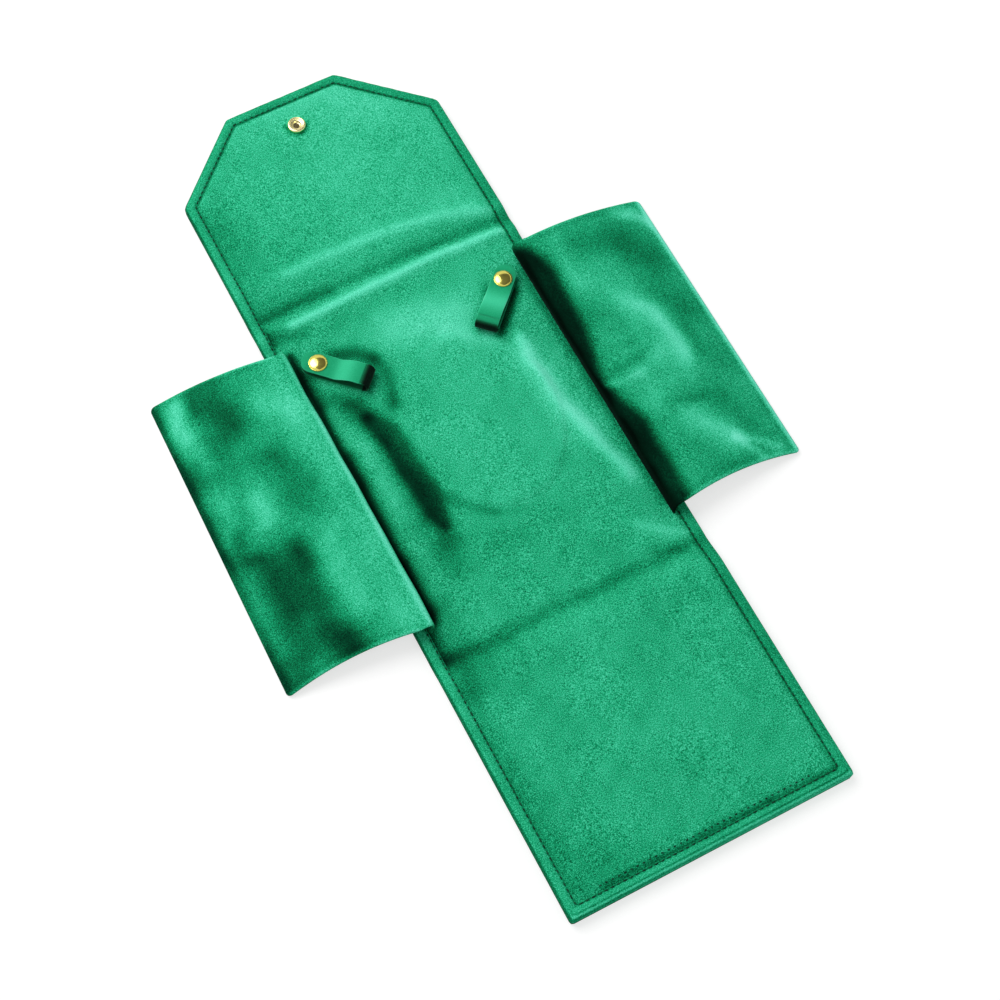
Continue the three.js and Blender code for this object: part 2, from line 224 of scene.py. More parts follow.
def suedeRibbon():
    material, tree = newMaterial("suede_ribbon")
    place = addNode(tree, "ShaderNodeTexCoord").outputs["Object"]
    # each point's tone of painted shade and painted highlight
    toneAndPaintedLight = addNode(tree, "ShaderNodeAttribute", attribute_name="toneAndPaintedLight").outputs["Fac"]
    fluff = addNode(tree, "ShaderNodeTexNoise", {
        "Vector": place, "Scale": 1 / (suedeLook["fluffMm"] * mm), "Detail": 3.0,
    }).outputs["Fac"]
    centred = addNode(tree, "ShaderNodeMath", {0: fluff, 1: 0.5}, operation="SUBTRACT")
    lean = addNode(tree, "ShaderNodeMath", {0: toneAndPaintedLight, 1: 0.5, 2: 0.5}, operation="MULTIPLY_ADD")
    tone = addNode(tree, "ShaderNodeMath", {
        0: centred.outputs[0], 1: suedeLook["rubbing"], 2: lean.outputs[0],
    }, operation="MULTIPLY_ADD")
    ramp = addNode(tree, "ShaderNodeValToRGB", {"Fac": tone.outputs[0]})
    fillRamp(ramp, suedeLook["tones"])
    bump = addNode(tree, "ShaderNodeBump", {
        "Height": fluff, "Strength": 0.3, "Distance": suedeLook["bumpMm"] * mm,
    })
    return shade(material, {
        "Base Color": ramp.outputs["Color"], "Normal": bump.outputs["Normal"],
        "Roughness": 0.8, "IOR": 1.5, "Specular IOR Level": 0.06,
        "Sheen Weight": 0.2, "Sheen Roughness": 0.4, "Sheen Tint": hexColor(suedeLook["bloom"]),
    })


# Polyester sewing thread, twisted: dark, with a painted glint slanting along each stitch.
threadLook = {
    "tones": [(0.0, "#032819"), (1.0, "#0c563a")],
    "twistMm": 4.4,  # coarser than a real twist so that it shows
}


def sewingThread():
    material, tree = newMaterial("polyester_thread")
    place = addNode(tree, "ShaderNodeTexCoord").outputs["Object"]
    waveTurns = 10  # radians to the unit along the node's diagonal bands
    # the twist's bands paint a glint into the thread's colour
    twist = addNode(tree, "ShaderNodeTexWave", {
        "Vector": place, "Scale": 2 * math.pi / (waveTurns * threadLook["twistMm"] * mm), "Distortion": 1.0,
    }, bands_direction="DIAGONAL").outputs["Fac"]
    ramp = addNode(tree, "ShaderNodeValToRGB", {"Fac": twist})
    fillRamp(ramp, threadLook["tones"])
    return shade(material, {
        "Base Color": ramp.outputs["Color"], "Roughness": 0.6, "IOR": 1.5, "Specular IOR Level": 0.1,
    })


# Brass, stamped, polished and gold plated: a clear mirror with faint rubbed patches.
goldLook = {
    "rubbedMm": 1.6, "rubbing": (0.7, 1.5),  # patches, and least and most share of the roughness
    # painted shade on the floor of the bores
    "bore": "#3b2409",
}


def goldPlate(name, color, roughness):
    material, tree = newMaterial(name)
    place = addNode(tree, "ShaderNodeTexCoord").outputs["Object"]
    rubbed = addNode(tree, "ShaderNodeTexNoise", {
        "Vector": place, "Scale": 1 / (goldLook["rubbedMm"] * mm), "Detail": 3.0,
    }).outputs["Fac"]
    least, most = goldLook["rubbing"]
    rough = addNode(tree, "ShaderNodeMapRange", {
        "Value": rubbed, "To Min": roughness * least, "To Max": roughness * most,
    }).outputs["Result"]
    # painted shade in the bores
    boreShade = addNode(tree, "ShaderNodeAttribute", attribute_name="toneAndPaintedLight").outputs["Fac"]  # below 0 in the bores
    clean = addNode(tree, "ShaderNodeMapRange", {
        "Value": boreShade, "From Min": -1.0, "From Max": 0.0,
    }).outputs["Result"]
    tint = addNode(tree, "ShaderNodeValToRGB", {"Fac": clean})
    fillRamp(tint, [(0.0, goldLook["bore"]), (1.0, color)])
    return shade(material, {
        "Base Color": tint.outputs["Color"], "Metallic": 1.0, "Roughness": rough,
    })


# Needled felt and a rolled plastic sheet, both hidden between the layers: pale and dull, with short
# fibres or a fine matt grain.
def plainFibre(name, dark, light, fibreMm):
    material, tree = newMaterial(name)
    place = addNode(tree, "ShaderNodeTexCoord").outputs["Object"]
    fibres = addNode(tree, "ShaderNodeTexNoise", {
        "Vector": place, "Scale": 1 / (fibreMm * mm), "Detail": 4.0, "Distortion": 1.5,
    }).outputs["Fac"]
    ramp = addNode(tree, "ShaderNodeValToRGB", {"Fac": fibres})
    fillRamp(ramp, [(0.0, dark), (1.0, light)])
    bump = addNode(tree, "ShaderNodeBump", {"Height": fibres, "Strength": 0.4, "Distance": 0.1 * mm})
    return shade(material, {
        "Base Color": ramp.outputs["Color"], "Normal": bump.outputs["Normal"],
        "Roughness": 0.95, "IOR": 1.5,
    })


liningVelvet = velvet("velvet_lining", grain=1.10, mottle=0.09, brush=0.05, sheen=0.03)
coverVelvet = velvet("velvet_cover", grain=0.90, mottle=0.07, brush=0.05, sheen=0.03)
wingVelvet = velvet("velvet_wing", grain=1.00, mottle=0.12, brush=0.06, sheen=0.03)
ribbonSuede = suedeRibbon()
threadDark = sewingThread()
goldBright = goldPlate("gold_plated_brass", "#dbd068", 0.12)
# a paler copy of the same gold plate, painted lighter so that the socket's highlights read whiter
goldPaintedLit = goldPlate("gold_plate_painted_lit", "#eae0a4", 0.16)
needledFelt = plainFibre("needled_felt", "#c9c4b6", "#e2ded2", 1.2)
flexibleSheet = plainFibre("plastic_sheet", "#c2bca8", "#ccc6b4", 0.8)
print("materials made")


# Faces between rows of points, which may each be closed to a ring
def gridFaces(rows, columns, start=0, flip=False, closed=False):
    faces = []
    for row in range(rows - 1):
        for k in range(columns if closed else columns - 1):
            a = start + row * columns + k
            b = start + row * columns + (k + 1) % columns
            quad = (a, b, b + columns, a + columns)
            faces.append(quad[::-1] if flip else quad)
    return faces


weld = 0.0005  # points nearer than this become one


def makePiece(name, points, faces, material, toneAndPaintedLight=None):
    mesh = bpy.data.meshes.new(name)
    mesh.from_pydata((np.asarray(points, float) * mm).tolist(), [], faces)
    # each point's tone, from -1 to 1: painted light and shade, and drifts of the cloth's own tone
    lean = mesh.attributes.new("toneAndPaintedLight", "FLOAT", "POINT")
    lean.data.foreach_set("value", np.zeros(len(points)) if toneAndPaintedLight is None else np.clip(toneAndPaintedLight, -1, 1))
    build = bmesh.new()
    build.from_mesh(mesh)
    bmesh.ops.remove_doubles(build, verts=build.verts, dist=weld * mm)
    build.to_mesh(mesh)
    build.free()
    mesh.polygons.foreach_set("use_smooth", [True] * len(mesh.polygons))
    mesh.materials.append(material)
    piece = bpy.data.objects.new(name, mesh)
    scene.collection.objects.link(piece)
    return piece


# Soft marks, each as (amount, half width, points): a line, or a filled patch where the points close up
def marksAt(x, y, marks):
    total = np.zeros_like(x)
    for amount, width, points in marks:
        nearest = np.full_like(x, np.inf)
        inside = np.zeros(x.shape, bool)
        for (ax, ay), (bx, by) in zip(points, points[1:] or points):
            length = max((bx - ax) ** 2 + (by - ay) ** 2, 1e-9)
            t = np.clip(((x - ax) * (bx - ax) + (y - ay) * (by - ay)) / length, 0, 1)
            nearest = np.minimum(nearest, np.hypot(x - ax - t * (bx - ax), y - ay - t * (by - ay)))
            if ay != by:
                inside ^= ((y < ay) != (y < by)) & (x < ax + (y - ay) * (bx - ax) / (by - ay))
        if points[0] == points[-1]:
            nearest = np.where(inside, 0, nearest)
        total += amount * np.exp(-(nearest / width) ** 2)
    return total


# Gentle unevenness, with lumps of about one size for each (height, size, seed)
def uneven(x, y, *layers):
    waves = 7  # each with its own heading, phase and stretch
    total = np.zeros_like(x)
    for height, size, seed in layers:
        draw = np.random.default_rng(seed)
        for turn, phase, stretch in draw.uniform((0, 0, 0.7), (6.28, 6.28, 1.4), (waves, 3)):
            along = x * math.cos(turn) + y * math.sin(turn)
            total += height * np.sin(along * 2 * math.pi / (size * stretch) + phase) / (waves / 2)
    return total


# The strip: three panels in one row, from the flap's end to the front's end
backHigh = boxMm("back_cover")[1]
flapLow, flapHigh = boxMm("flap_cover")
frontLow = boxMm("front_cover")[0]
strip = {
    "halfWidth": backHigh.x, "backEnd": backHigh.y, "panelStart": flapLow.y,
    "flapEnd": flapHigh.y, "frontEnd": frontLow.y,
    "cornerLength": 34.2, "endHalf": 26.8,  # the flap's cut corners
    "liningTop": boxMm("left_loop_base")[0].z,  # the loops lie on the lining
    "flapLift": flapLow.z, "frontLift": frontLow.z,
    "splitY": -58.0,  # the strip's two meshes meet here, where the wings cover its edges
    "step": 1.6, "across": 84,
    "tuck": 4.3,  # the lining's edge lies this far in, under the hem
    "rounding": 1,  # smoothing passes that round the corners
}


def liftAt(y):
    foldLine = (strip["backEnd"] + strip["panelStart"]) / 2
    half = strip["panelStart"] - foldLine
    return strip["flapLift"] * ease(y, foldLine, half) + strip["frontLift"] * ease(-y, foldLine, half)


def upperOutline(inset):
    turn = math.atan2(strip["halfWidth"] - strip["endHalf"], strip["cornerLength"])
    x = strip["halfWidth"] - inset
    shoulder = strip["flapEnd"] - strip["cornerLength"] - inset * math.tan(turn / 2)
    endX = strip["endHalf"] - inset * math.tan(math.pi / 4 - turn / 2)
    end = strip["flapEnd"] - inset
    left = [(-x, strip["splitY"]), (-x, shoulder), (-endX, end)]
    return left + [(-px, py) for px, py in reversed(left)]


def lowerOutline(inset):
    x = strip["halfWidth"] - inset
    end = strip["frontEnd"] + inset
    return [(x, strip["splitY"]), (x, end), (-x, end), (-x, strip["splitY"])]


# Points round an outline, with its corners rounded; also how many lie before its end edge
def pathRound(outline, inset):
    whole = outline(0)
    middle = (len(whole) - 2) // 2
    steps = [max(2, round(math.dist(a, b) / strip["step"])) for a, b in zip(whole, whole[1:])]
    steps[middle] = strip["across"]
    corners = outline(inset)
    points = [
        (ax + (bx - ax) * k / count, ay + (by - ay) * k / count)
        for (ax, ay), (bx, by), count in zip(corners, corners[1:], steps)
        for k in range(count)
    ]
    points = np.array([*points, corners[-1]])
    for _ in range(strip["rounding"]):
        points[1:-1] = (points[:-2] + 2 * points[1:-1] + points[2:]) / 4
    return points, sum(steps[:middle])


# Rows of points that fill an outline, from the split to its end edge
def fillGrid(outline, inset):
    points, sideCount = pathRound(outline, inset)
    share = np.linspace(0, 1, strip["across"] + 1)[None, :, None]
    first = points[:sideCount + 1, None, :]
    last = points[::-1][:sideCount + 1, None, :]
    rows = mix(first, last, share)
    rows[-1] = points[sideCount:sideCount + strip["across"] + 1]
    return rows


def edgeDistance(x, y, outline):
    corners = outline(0)
    nearest = np.full_like(x, np.inf)
    for (ax, ay), (bx, by) in zip(corners, corners[1:]):
        length = math.hypot(bx - ax, by - ay)
        nearest = np.minimum(nearest, ((x - ax) * (by - ay) - (y - ay) * (bx - ax)) / length)
    return nearest


# Heights of the folds across the strip, in mm, which the hem follows too
foldMarks = [
    (0.9, 3.6, [(-62, 105.5), (-20, 106), (14, 104.5), (38, 101.5), (62, 93)]),  # swell above the upper fold
    (-1.1, 3.4, [(-62, 91.5), (-20, 91.6), (20, 91.2), (62, 89)]),
    (1.3, 2.6, [(-62, 81.8), (-30, 82.8), (4, 84), (24, 84.6), (62, 82)]),
    (-0.7, 3.4, [(-62, -82), (-36, -83), (5, -83.8), (27, -84), (62, -85)]),  # lower fold
    (0.4, 6.0, [(-62, -92), (5, -95), (62, -97)]),
]
# Heights of the ridge right of the disc, the valley left of it and two swells
liningRelief = [
    (1.3, 3.8, [(39, 36), (37.3, 20), (37.3, 8), (38.8, -5), (42.5, -22), (48, -44)]),
    (-0.6, 6.0, [(-39, 36), (-33, 19), (-31, 2), (-30, -13), (-29, -26), (-33, -44)]),
    (0.7, 5.0, [(-45, 24), (-44, 4), (-43, -24)]),
    (0.8, 2.6, [(40, -66), (48, -73.5), (56, -79)]),
]
disc = {"centre": (6.0, 6.0), "radius": (33.0, 42.0), "height": 0.9, "slope": 1.8}


def discShare(x, y):
    along = (x - disc["centre"][0]) / disc["radius"][0]
    up = (y - disc["centre"][1]) / disc["radius"][1]
    inside = (1 - np.hypot(along, up)) * min(disc["radius"])
    return ease(inside / disc["slope"] + 0.5)


socketAt = middleOf("flap_snap_socket")[0]
ringRadius = 4.6
socketRing = [  # round the socket's lower side
    (socketAt[0] + ringRadius * math.cos(turn), socketAt[1] + ringRadius * math.sin(turn))
    for turn in np.linspace(2.6, 6.1, 9)
]
# Soft marks on the lining, bright above 0 and dark below: painted highlights and painted shade, with drifts
# of the pile's own tone
liningPaintedLight = [
    # painted shade between the disc and the left wing, round the left loop and along the left wing's crest,
    # with a painted highlight between
    (-0.42, 2.8, [(-36, 28), (-31, 24), (-28.8, 18), (-27.4, 8), (-26.2, -8), (-25.6, -17), (-27.5, -24),
                  (-30, -30), (-33, -24), (-33.6, -12), (-34, 4), (-36, 28)]),
    (-0.36, 6.2, [(-40, 36), (-36, 22), (-33, 0), (-31, -18), (-31.5, -37)]),
    (-0.16, 6.0, [(-31.5, -42), (-32.5, -50)]),
    (-0.12, 5.0, [(-39, -16), (-38, -50)]),
    (-0.26, 3.6, [(-44, 43.5), (-39, 36.5), (-35, 29)]),
    (-0.36, 3.6, [(-20.7, 50), (-20, 40), (-23.5, 29)]),
    (-0.50, 3.8, [(-36, 61), (-27, 58), (-22, 53)]),
    (-0.40, 3.0, [(-26.5, 47), (-29, 42)]),
    (0.14, 4.5, [(-44, 26), (-44, 4), (-43, -18)]),
    (-0.85, 2.3, [(-53, 69), (-53.2, 62), (-53.2, 30), (-53, 0), (-53.2, -40), (-53.8, -66)]),
    (-0.34, 3.0, [(-50, 60), (-50, 42)]),
    (-0.30, 3.0, [(-50, 16), (-50.5, -30), (-51, -62)]),
    (-0.60, 4.0, [(-58, 82), (-58, 79)]),
    (-0.22, 4.0, [(-51, 78.5), (-44, 78)]),
    # painted shade along the edge of the disc, whose rim shows through the cloth
    (-0.26, 2.2, [(-22, -20.5), (-19.5, -24.5), (-14.5, -30.5), (-8.5, -35)]),
    (-0.10, 1.6, [(-8.5, -35), (-1, -38.5), (6, -40)]),
    (-0.10, 6.0, [(-16, -46), (0, -49), (14, -48)]),
    # painted highlights along the ridge and above the disc, and painted shade along the right wing's root
    (0.52, 3.0, [(38, 31), (38, 18), (38.8, 6), (40.2, -4), (42, -12), (43.8, -21), (45.8, -33),
                 (48.8, -46)]),
    (0.22, 7.0, [(37, 24), (38, 4), (42, -18)]),
    (-0.30, 2.4, [(54.5, 62), (54.5, 0), (54.5, -62)]),
    (0.36, 11.0, [(-7, 61), (8, 58), (24, 54)]),
    (0.24, 4.5, [(12, 50.5), (20, 44), (27, 36)]),
    # shade on both sides of the right loop
    (-0.60, 2.0, [(48, 54), (38, 43.5), (31.5, 37.5)]),
    (-0.45, 1.1, [(50.5, 58.5), (43, 51), (33, 41)]),
    (-0.30, 2.4, [(37, 60), (26, 49), (24, 44)]),
    # painted shade along the lower fold and beside it, and a painted highlight on the swell at its right
    (-0.18, 6.0, [(-53, -40), (-53, -60), (-53, -98)]),
    (-0.55, 3.6, [(-58, -70), (-58, -83)]),
    (-0.10, 5.0, [(-45, -62), (-45, -80)]),
    (-0.10, 7.0, [(8, -62), (26, -72)]),
    (-0.24, 3.4, [(-54, -83), (-35, -83.5), (6, -84), (28, -84), (57, -84.5)]),
    (-0.16, 5.0, [(-54, -86), (-30, -87)]),
    (0.24, 2.2, [(40, -66.5), (48, -74), (55, -79.5)]),
    (-0.20, 2.0, [(42, -80), (52, -85)]),
    # upper fold: painted highlight on the swell, painted shade in the crease, painted highlight on the ridge
    (0.32, 2.8, [(-36, 106), (-20, 106.4), (0, 105.8), (14, 104.6), (28, 103.2), (38, 101.4), (46, 98.8),
                 (55, 95)]),
    (-0.10, 5.0, [(-54, 97.5), (-10, 97), (36, 95.5)]),
    (-0.30, 2.8, [(-56, 91.4), (-29, 91.6), (11, 91.2), (58, 89.4)]),
    (-0.14, 3.0, [(-56, 90.4), (-24, 90.6)]),
    (0.58, 2.0, [(-46, 82.4), (-30, 83), (4, 84.2), (24, 84.8), (42, 84), (57, 82.6)]),
    # painted shade beside the front edge's seam, and under the socket
    (-0.36, 1.3, [(-45, -192.2), (28, -192.2)]),
    (-0.26, 1.1, [(28, -192.2), (57, -192.5)]),
    (-0.45, 1.0, socketRing),
    # wide drifts of lighter and darker tone, among them a painted sheen over the flap
    (0.14, 45.0, [(20, 160), (16, 120)]),
    (0.12, 8.0, [(-6, 184), (20, 184)]),
    (0.14, 9.0, [(26, 178), (38, 166)]),
    (-0.14, 9.0, [(-56, 145), (-56, 114)]),
    (-0.16, 5.0, [(-55, -100), (-55, -188)]),
    (-0.08, 6.0, [(-50, -189), (54, -189)]),
    (0.14, 4.0, [(-10, 188), (18, 188)]),
    (-0.10, 12.0, [(-45, 132), (-40, 118)]),
    (-0.07, 12.0, [(-4, 127), (12, 119)]),
    (-0.07, 5.0, [(-40, 75), (26, 77)]),
    (-0.10, 8.0, [(-48, -92), (-40, -106)]),
    (-0.10, 8.0, [(30, -105), (46, -106)]),
    (-0.09, 10.0, [(-47, -156), (-44, -182)]),
]
snapPress = [(1.0, 6.0, [socketAt])]
snapPress += [
    (1.0, 7.0, [middleOf(f"{side}_loop_cap")[0], jointAxis(f"{side}_loop_open")[:2]]) for side in sides
]
lining = {
    "pressed": [(-0.55, 4.6, 1.5), (0.25, 9.0, 3.0)],  # dent beside the hem and the swell next to it
    "wave": [(0.16, 38, 3), (0.07, 13, 4)],
    "calm": (4.0, 6.0), "hemShare": 0.45,  # the relief rises to its full height from this share at the hem
    "lowest": -0.75,  # stays above the felt
    # painted highlight on the raised disc, and painted shade in the dent beside the hem
    "tone": 0.075, "discHighlight": 0.06, "seamShade": (-0.22, 5.0, 0.7),
    "drift": [(0.04, 34, 21), (0.03, 13, 22)],
    "warpX": (0.6, 23, 11), "warpY": (0.6, 21, 12),  # the brushed marks are a little crooked
}


def liningHeight(x, y, outline):
    inset = edgeDistance(x, y, outline)
    relief = marksAt(x, y, foldMarks) + marksAt(x, y, liningRelief) + disc["height"] * discShare(x, y)
    calm = ease(inset, *lining["calm"])
    relief = relief * mix(lining["hemShare"], 1, calm)
    loose = 1 - np.minimum(marksAt(x, y, snapPress), 1)  # the snaps hold the cloth flat
    wave = uneven(x, y, *lining["wave"]) * calm
    height = (relief + wave + bandsAt(inset, *lining["pressed"])) * loose
    return strip["liningTop"] + np.maximum(height, lining["lowest"]) + liftAt(y)


def makeLining(name, outline):
    rows = fillGrid(outline, strip["tuck"])
    x, y = rows[..., 0], rows[..., 1]
    z = liningHeight(x, y, outline)
    warpX = x + uneven(x, y, lining["warpX"])
    warpY = y + uneven(x, y, lining["warpY"])
    toneAndPaintedLight = lining["tone"] + marksAt(warpX, warpY, liningPaintedLight) + lining["discHighlight"] * discShare(x, y)
    toneAndPaintedLight += uneven(x, y, *lining["drift"]) + bandsAt(edgeDistance(x, y, outline), lining["seamShade"])
    points = np.stack([x, y, z], -1).reshape(-1, 3)
    faces = gridFaces(rows.shape[0], rows.shape[1])
    return makePiece(name, points, faces, liningVelvet, toneAndPaintedLight.ravel())


upperLining = makeLining("upper_lining", upperOutline)
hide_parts("back_lining", "upper_fold_lining", "flap_lining")
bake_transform(upperLining)

lowerLining = makeLining("lower_lining", lowerOutline)
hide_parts("lower_fold_lining", "front_lining")
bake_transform(lowerLining)
print("lining laid")


# Outer velvet: the underside, a soft rolled edge and a hem turned over the lining
cover = {
    # the hem from its lip over its roll: distance in from the edge, height above the lining, and painted
    # light and shade on the lines pressed along the front edge
    "hem": [
        (5.5, -0.5, 0.0), (5.3, -0.05, 0.0), (5.05, 0.16, 0.0), (4.7, 0.08, 0.0), (4.35, 0.26, 0.0),
        (3.9, 0.55, 0.0), (3.2, 0.82, 0.1), (2.5, 0.86, 0.14), (1.9, 0.72, -0.22), (1.5, 0.6, 0.1),
        (1.1, 0.58, 0.42), (0.6, 0.3, 0.2), (0.2, -0.35, 0.05), (0.0, -1.1, 0.5), (0.16, -1.7, 0.45),
        (0.02, -2.2, 0.0),
    ],
    "frontBand": 0.6,  # points this near to the front edge's line belong to it
    "droop": 0.22,  # share of a panel's lift by which its outer edge hangs
    # the folds' height also sets the hem's tone: a painted highlight on the swells and painted shade in the
    # creases
    "crease": 0.55, "creaseTone": 0.11,  # shares of the folds' height in the hem's height and tone
    "lumps": [(0.10, 9, 31), (0.06, 4.5, 32)], "lowLumps": (-0.3, 0.3),  # below this height, this share
    # tones as the middle's and what the right side adds: on top, on the edge's outer face and below
    "hemTone": (-0.02, -0.07), "edgeTone": (-0.14, 0.18), "rollTone": (-0.2, 0.2),
    "edge": 1.0,  # the outer face lies within this inset
    # painted shade in the groove of the stitches
    "groove": (-0.40, 4.9, 0.4), "drift": (0.05, 26, 33),
    "underRoll": [(0.15, 0.55), (0.6, 0.15), (1.4, 0.0), (2.6, 0.0)],  # inset and height above the underside
    # painted shade on the underside
    "undersideShade": -0.12, "underDrift": [(0.10, 85, 34), (0.05, 33, 35)],
    "ground": 0.25,  # the edges sink to this height above the floor
    "sink": 15.0,  # from the edge to where the underside is level
    "lip": 11.0,  # cloth turned round the edge, for the flat size
}


def underHeight(x, y, outline):
    share = ease(edgeDistance(x, y, outline) / cover["sink"])
    return cover["ground"] + np.maximum(liftAt(y) - cover["ground"], 0) * share


# Height that the hem is measured from, which hangs towards the edge and follows the folds
def hemHeight(x, y, inset):
    droop = cover["droop"] * liftAt(y) * (1 - inset / cover["hem"][0][0])
    return strip["liningTop"] + liftAt(y) - droop + cover["crease"] * marksAt(x, y, foldMarks)


def makeCover(name, outline):
    rings = []
    ringTones = []
    lowHeight, lowShare = cover["lowLumps"]
    for inset, height, light in cover["hem"]:
        x, y = pathRound(outline, inset)[0].T
        lumps = uneven(x, y, *cover["lumps"]) * (1 if height > lowHeight else lowShare)
        rings.append(np.stack([x, y, hemHeight(x, y, inset) + height + lumps], -1))
        level, slant = cover["edgeTone"] if inset < cover["edge"] else cover["hemTone"]
        front = np.abs(y - strip["frontEnd"] - inset) < cover["frontBand"]
        toneAndPaintedLight = level + slant * x / strip["halfWidth"] + np.where(front, light, 0)
        toneAndPaintedLight += bandsAt(inset, cover["groove"]) + cover["creaseTone"] * marksAt(x, y, foldMarks)
        ringTones.append(toneAndPaintedLight + uneven(x, y, cover["drift"]))
    level, slant = cover["rollTone"]
    for inset, height in cover["underRoll"]:
        x, y = pathRound(outline, inset)[0].T
        rings.append(np.stack([x, y, underHeight(x, y, outline) + height], -1))
        ringTones.append(level + slant * x / strip["halfWidth"])
    count = len(rings[0])
    rows = fillGrid(outline, cover["underRoll"][-1][0])
    x, y = rows[..., 0], rows[..., 1]
    under = np.stack([x, y, underHeight(x, y, outline)], -1)
    ringTones.append((cover["undersideShade"] + uneven(x, y, *cover["underDrift"])).ravel())
    points = np.concatenate([*rings, under.reshape(-1, 3)])
    faces = gridFaces(len(rings), count)
    faces += gridFaces(rows.shape[0], rows.shape[1], start=len(rings) * count, flip=True)
    return makePiece(name, points, faces, coverVelvet, np.concatenate(ringTones))


upperCover = makeCover("upper_cover", upperOutline)
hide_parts("back_cover", "upper_fold_cover", "flap_cover")
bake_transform(upperCover)

lowerCover = makeCover("lower_cover", lowerOutline)
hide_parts("lower_fold_cover", "front_cover")
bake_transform(lowerCover)
print("cover turned over the edges")


# Lock stitches in the hem's groove, each a short twisted thread that dives at both ends
stitch = {
    "inset": 4.75, "length": 1.9, "pitch": 2.7, "radius": 0.3, "rise": 0.24,
    "backTackInset": 7.4, "backTack": (-46.0, 46.0), "backTackLength": 1.2, "backTackRise": 0.08,
    # place along the stitch, share of the radius and rise of each ring of points
    "rings": [
        (-1.0, 0.25, -0.35), (-0.7, 0.85, -0.05), (0.0, 1.0, 0.06), (0.7, 0.85, -0.05), (1.0, 0.25, -0.35),
    ],
    "around": 6,
    "aim": 0.4,  # a stitch follows the path this far to both sides
    "skew": 0.07, "lengths": (0.9, 1.08),  # stitches differ by this much
    "seed": 8,
}


def stitchMesh(centres, headings, lengths):
    rings, around = stitch["rings"], stitch["around"]
    points = []
    faces = []
    for (cx, cy, cz), heading, length in zip(centres, headings, lengths):
        start = len(points)
        dx, dy = math.cos(heading), math.sin(heading)
        for along, size, rise in rings:
            for k in range(around):
                turn = 2 * math.pi * k / around
                out = math.cos(turn) * stitch["radius"] * size
                up = math.sin(turn) * stitch["radius"] * size + rise
                reach = along * length / 2
                points.append((cx + dx * reach - dy * out, cy + dy * reach + dx * out, cz + up))
        faces += gridFaces(len(rings), around, start, flip=True, closed=True)
        faces.append(tuple(range(start, start + around)))
        faces.append(tuple(range(len(points) - 1, len(points) - around - 1, -1)))
    return points, faces


def stitchRow(outline, inset):
    path, _ = pathRound(outline, inset)
    pieces = np.hypot(*np.diff(path, axis=0).T)
    reach = np.concatenate([[0], np.cumsum(pieces)])
    count = int(reach[-1] / stitch["pitch"])
    at = (np.arange(count) + 0.5) * reach[-1] / count
    x, y = (np.interp(at, reach, values) for values in path.T)
    ahead = [np.interp(at + stitch["aim"], reach, values) for values in path.T]
    behind = [np.interp(at - stitch["aim"], reach, values) for values in path.T]
    return x, y, np.arctan2(ahead[1] - behind[1], ahead[0] - behind[0])


def makeStitches(name, outline, backTack=False):
    draw = np.random.default_rng(stitch["seed"])
    x, y, heading = stitchRow(outline, stitch["inset"])
    z = hemHeight(x, y, stitch["inset"]) + stitch["rise"]
    length = np.full(len(x), stitch["length"])
    if backTack:
        tackX = np.arange(*stitch["backTack"], stitch["pitch"])
        tackY = np.full(len(tackX), strip["frontEnd"] + stitch["backTackInset"])
        x, y = np.concatenate([x, tackX]), np.concatenate([y, tackY])
        z = np.concatenate([z, liningHeight(tackX, tackY, outline) + stitch["backTackRise"]])
        heading = np.concatenate([heading, np.zeros(len(tackX))])
        length = np.concatenate([length, np.full(len(tackX), stitch["backTackLength"])])
    heading = heading + draw.uniform(-stitch["skew"], stitch["skew"], len(x))
    length = length * draw.uniform(*stitch["lengths"], len(x))
    points, faces = stitchMesh(np.stack([x, y, z], -1), heading, length)
    return makePiece(name, points, faces, threadDark)


upperStitches = makeStitches("upper_stitches", upperOutline)
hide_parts("flap_stitching", "left_side_stitching", "right_side_stitching")
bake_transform(upperStitches)
lowerStitches = makeStitches("lower_stitches", lowerOutline, backTack=True)
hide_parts("front_stitching")
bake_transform(lowerStitches)
print("hems stitched")


# Side wings: two layers of velvet with thin wadding, sewn to the panel by a root that stands up
wing = {
    "reach": boxMm("right_wing_face")[1].x - jointAxis("right_wing_fold")[0],
    "ground": boxMm("right_wing_back")[0].z,
    "rim": 1.7, "puff": 1.4, "roll": 1.1, "crestRoll": 3.0, "sag": 1.9, "corner": 2.2,
    "bow": (0.9, 2.3),  # how far the top and the bottom edge curve towards the flap
    "step": 2.0, "near": [0.0, 0.12, 0.45, 1.0, 1.8, 2.8],  # between points, and their places near the ends
    "calm": (9.0, 6.0), "crestFade": 4.0,  # relief is full this far from the rim and the crest
    "lumps": (0.22, 24, 41),
    # a seam along the rim, with painted shade in it, and its puckers, by the distance from the rim
    "seam": (-0.22, 2.3, 0.8), "seamShade": (-0.1, 2.2, 1.0),
    "pucker": (0.16, 3.0, 2.2), "puckerTurn": 0.9, "puckerShift": (2.0, 19, 42),
    # middle and width of the light on the outer, the top and the bottom edge, and where the top's ends
    "lightAt": ((0.8, 1.1), (0.0, 0.9), (0.0, 1.2)), "topFade": (20.0, 14.0),
    "warpOut": (0.5, 21, 43), "warpY": (0.5, 23, 44), "drift": (0.05, 24, 45),
    # painted shade on the underside
    "undersideShade": -0.2, "underDrift": [(0.10, 70, 46), (0.07, 31, 47)],
}
# y of the ends at the crest and at the outer edge, how far the outer edge reaches past the solid's at the
# top and the bottom, x of the root's bulge at the top and the bottom, light on the outer, the top and the
# bottom edge and on the root's roll
wingEnds = {
    "left": {"top": (68.6, 75.4), "bottom": (-70.0, -67.4), "past": (-0.2, 2.6), "bulge": (54.4, 53.2),
             "edgeLight": (0.0, 0.45, 0.3), "crestLight": 0.52},
    "right": {"top": (70.6, 69.8), "bottom": (-69.8, -69.0), "past": (1.8, 1.4), "bulge": (53.9, 55.2),
              "edgeLight": (0.9, 0.22, 0.3), "crestLight": 0.0},
}
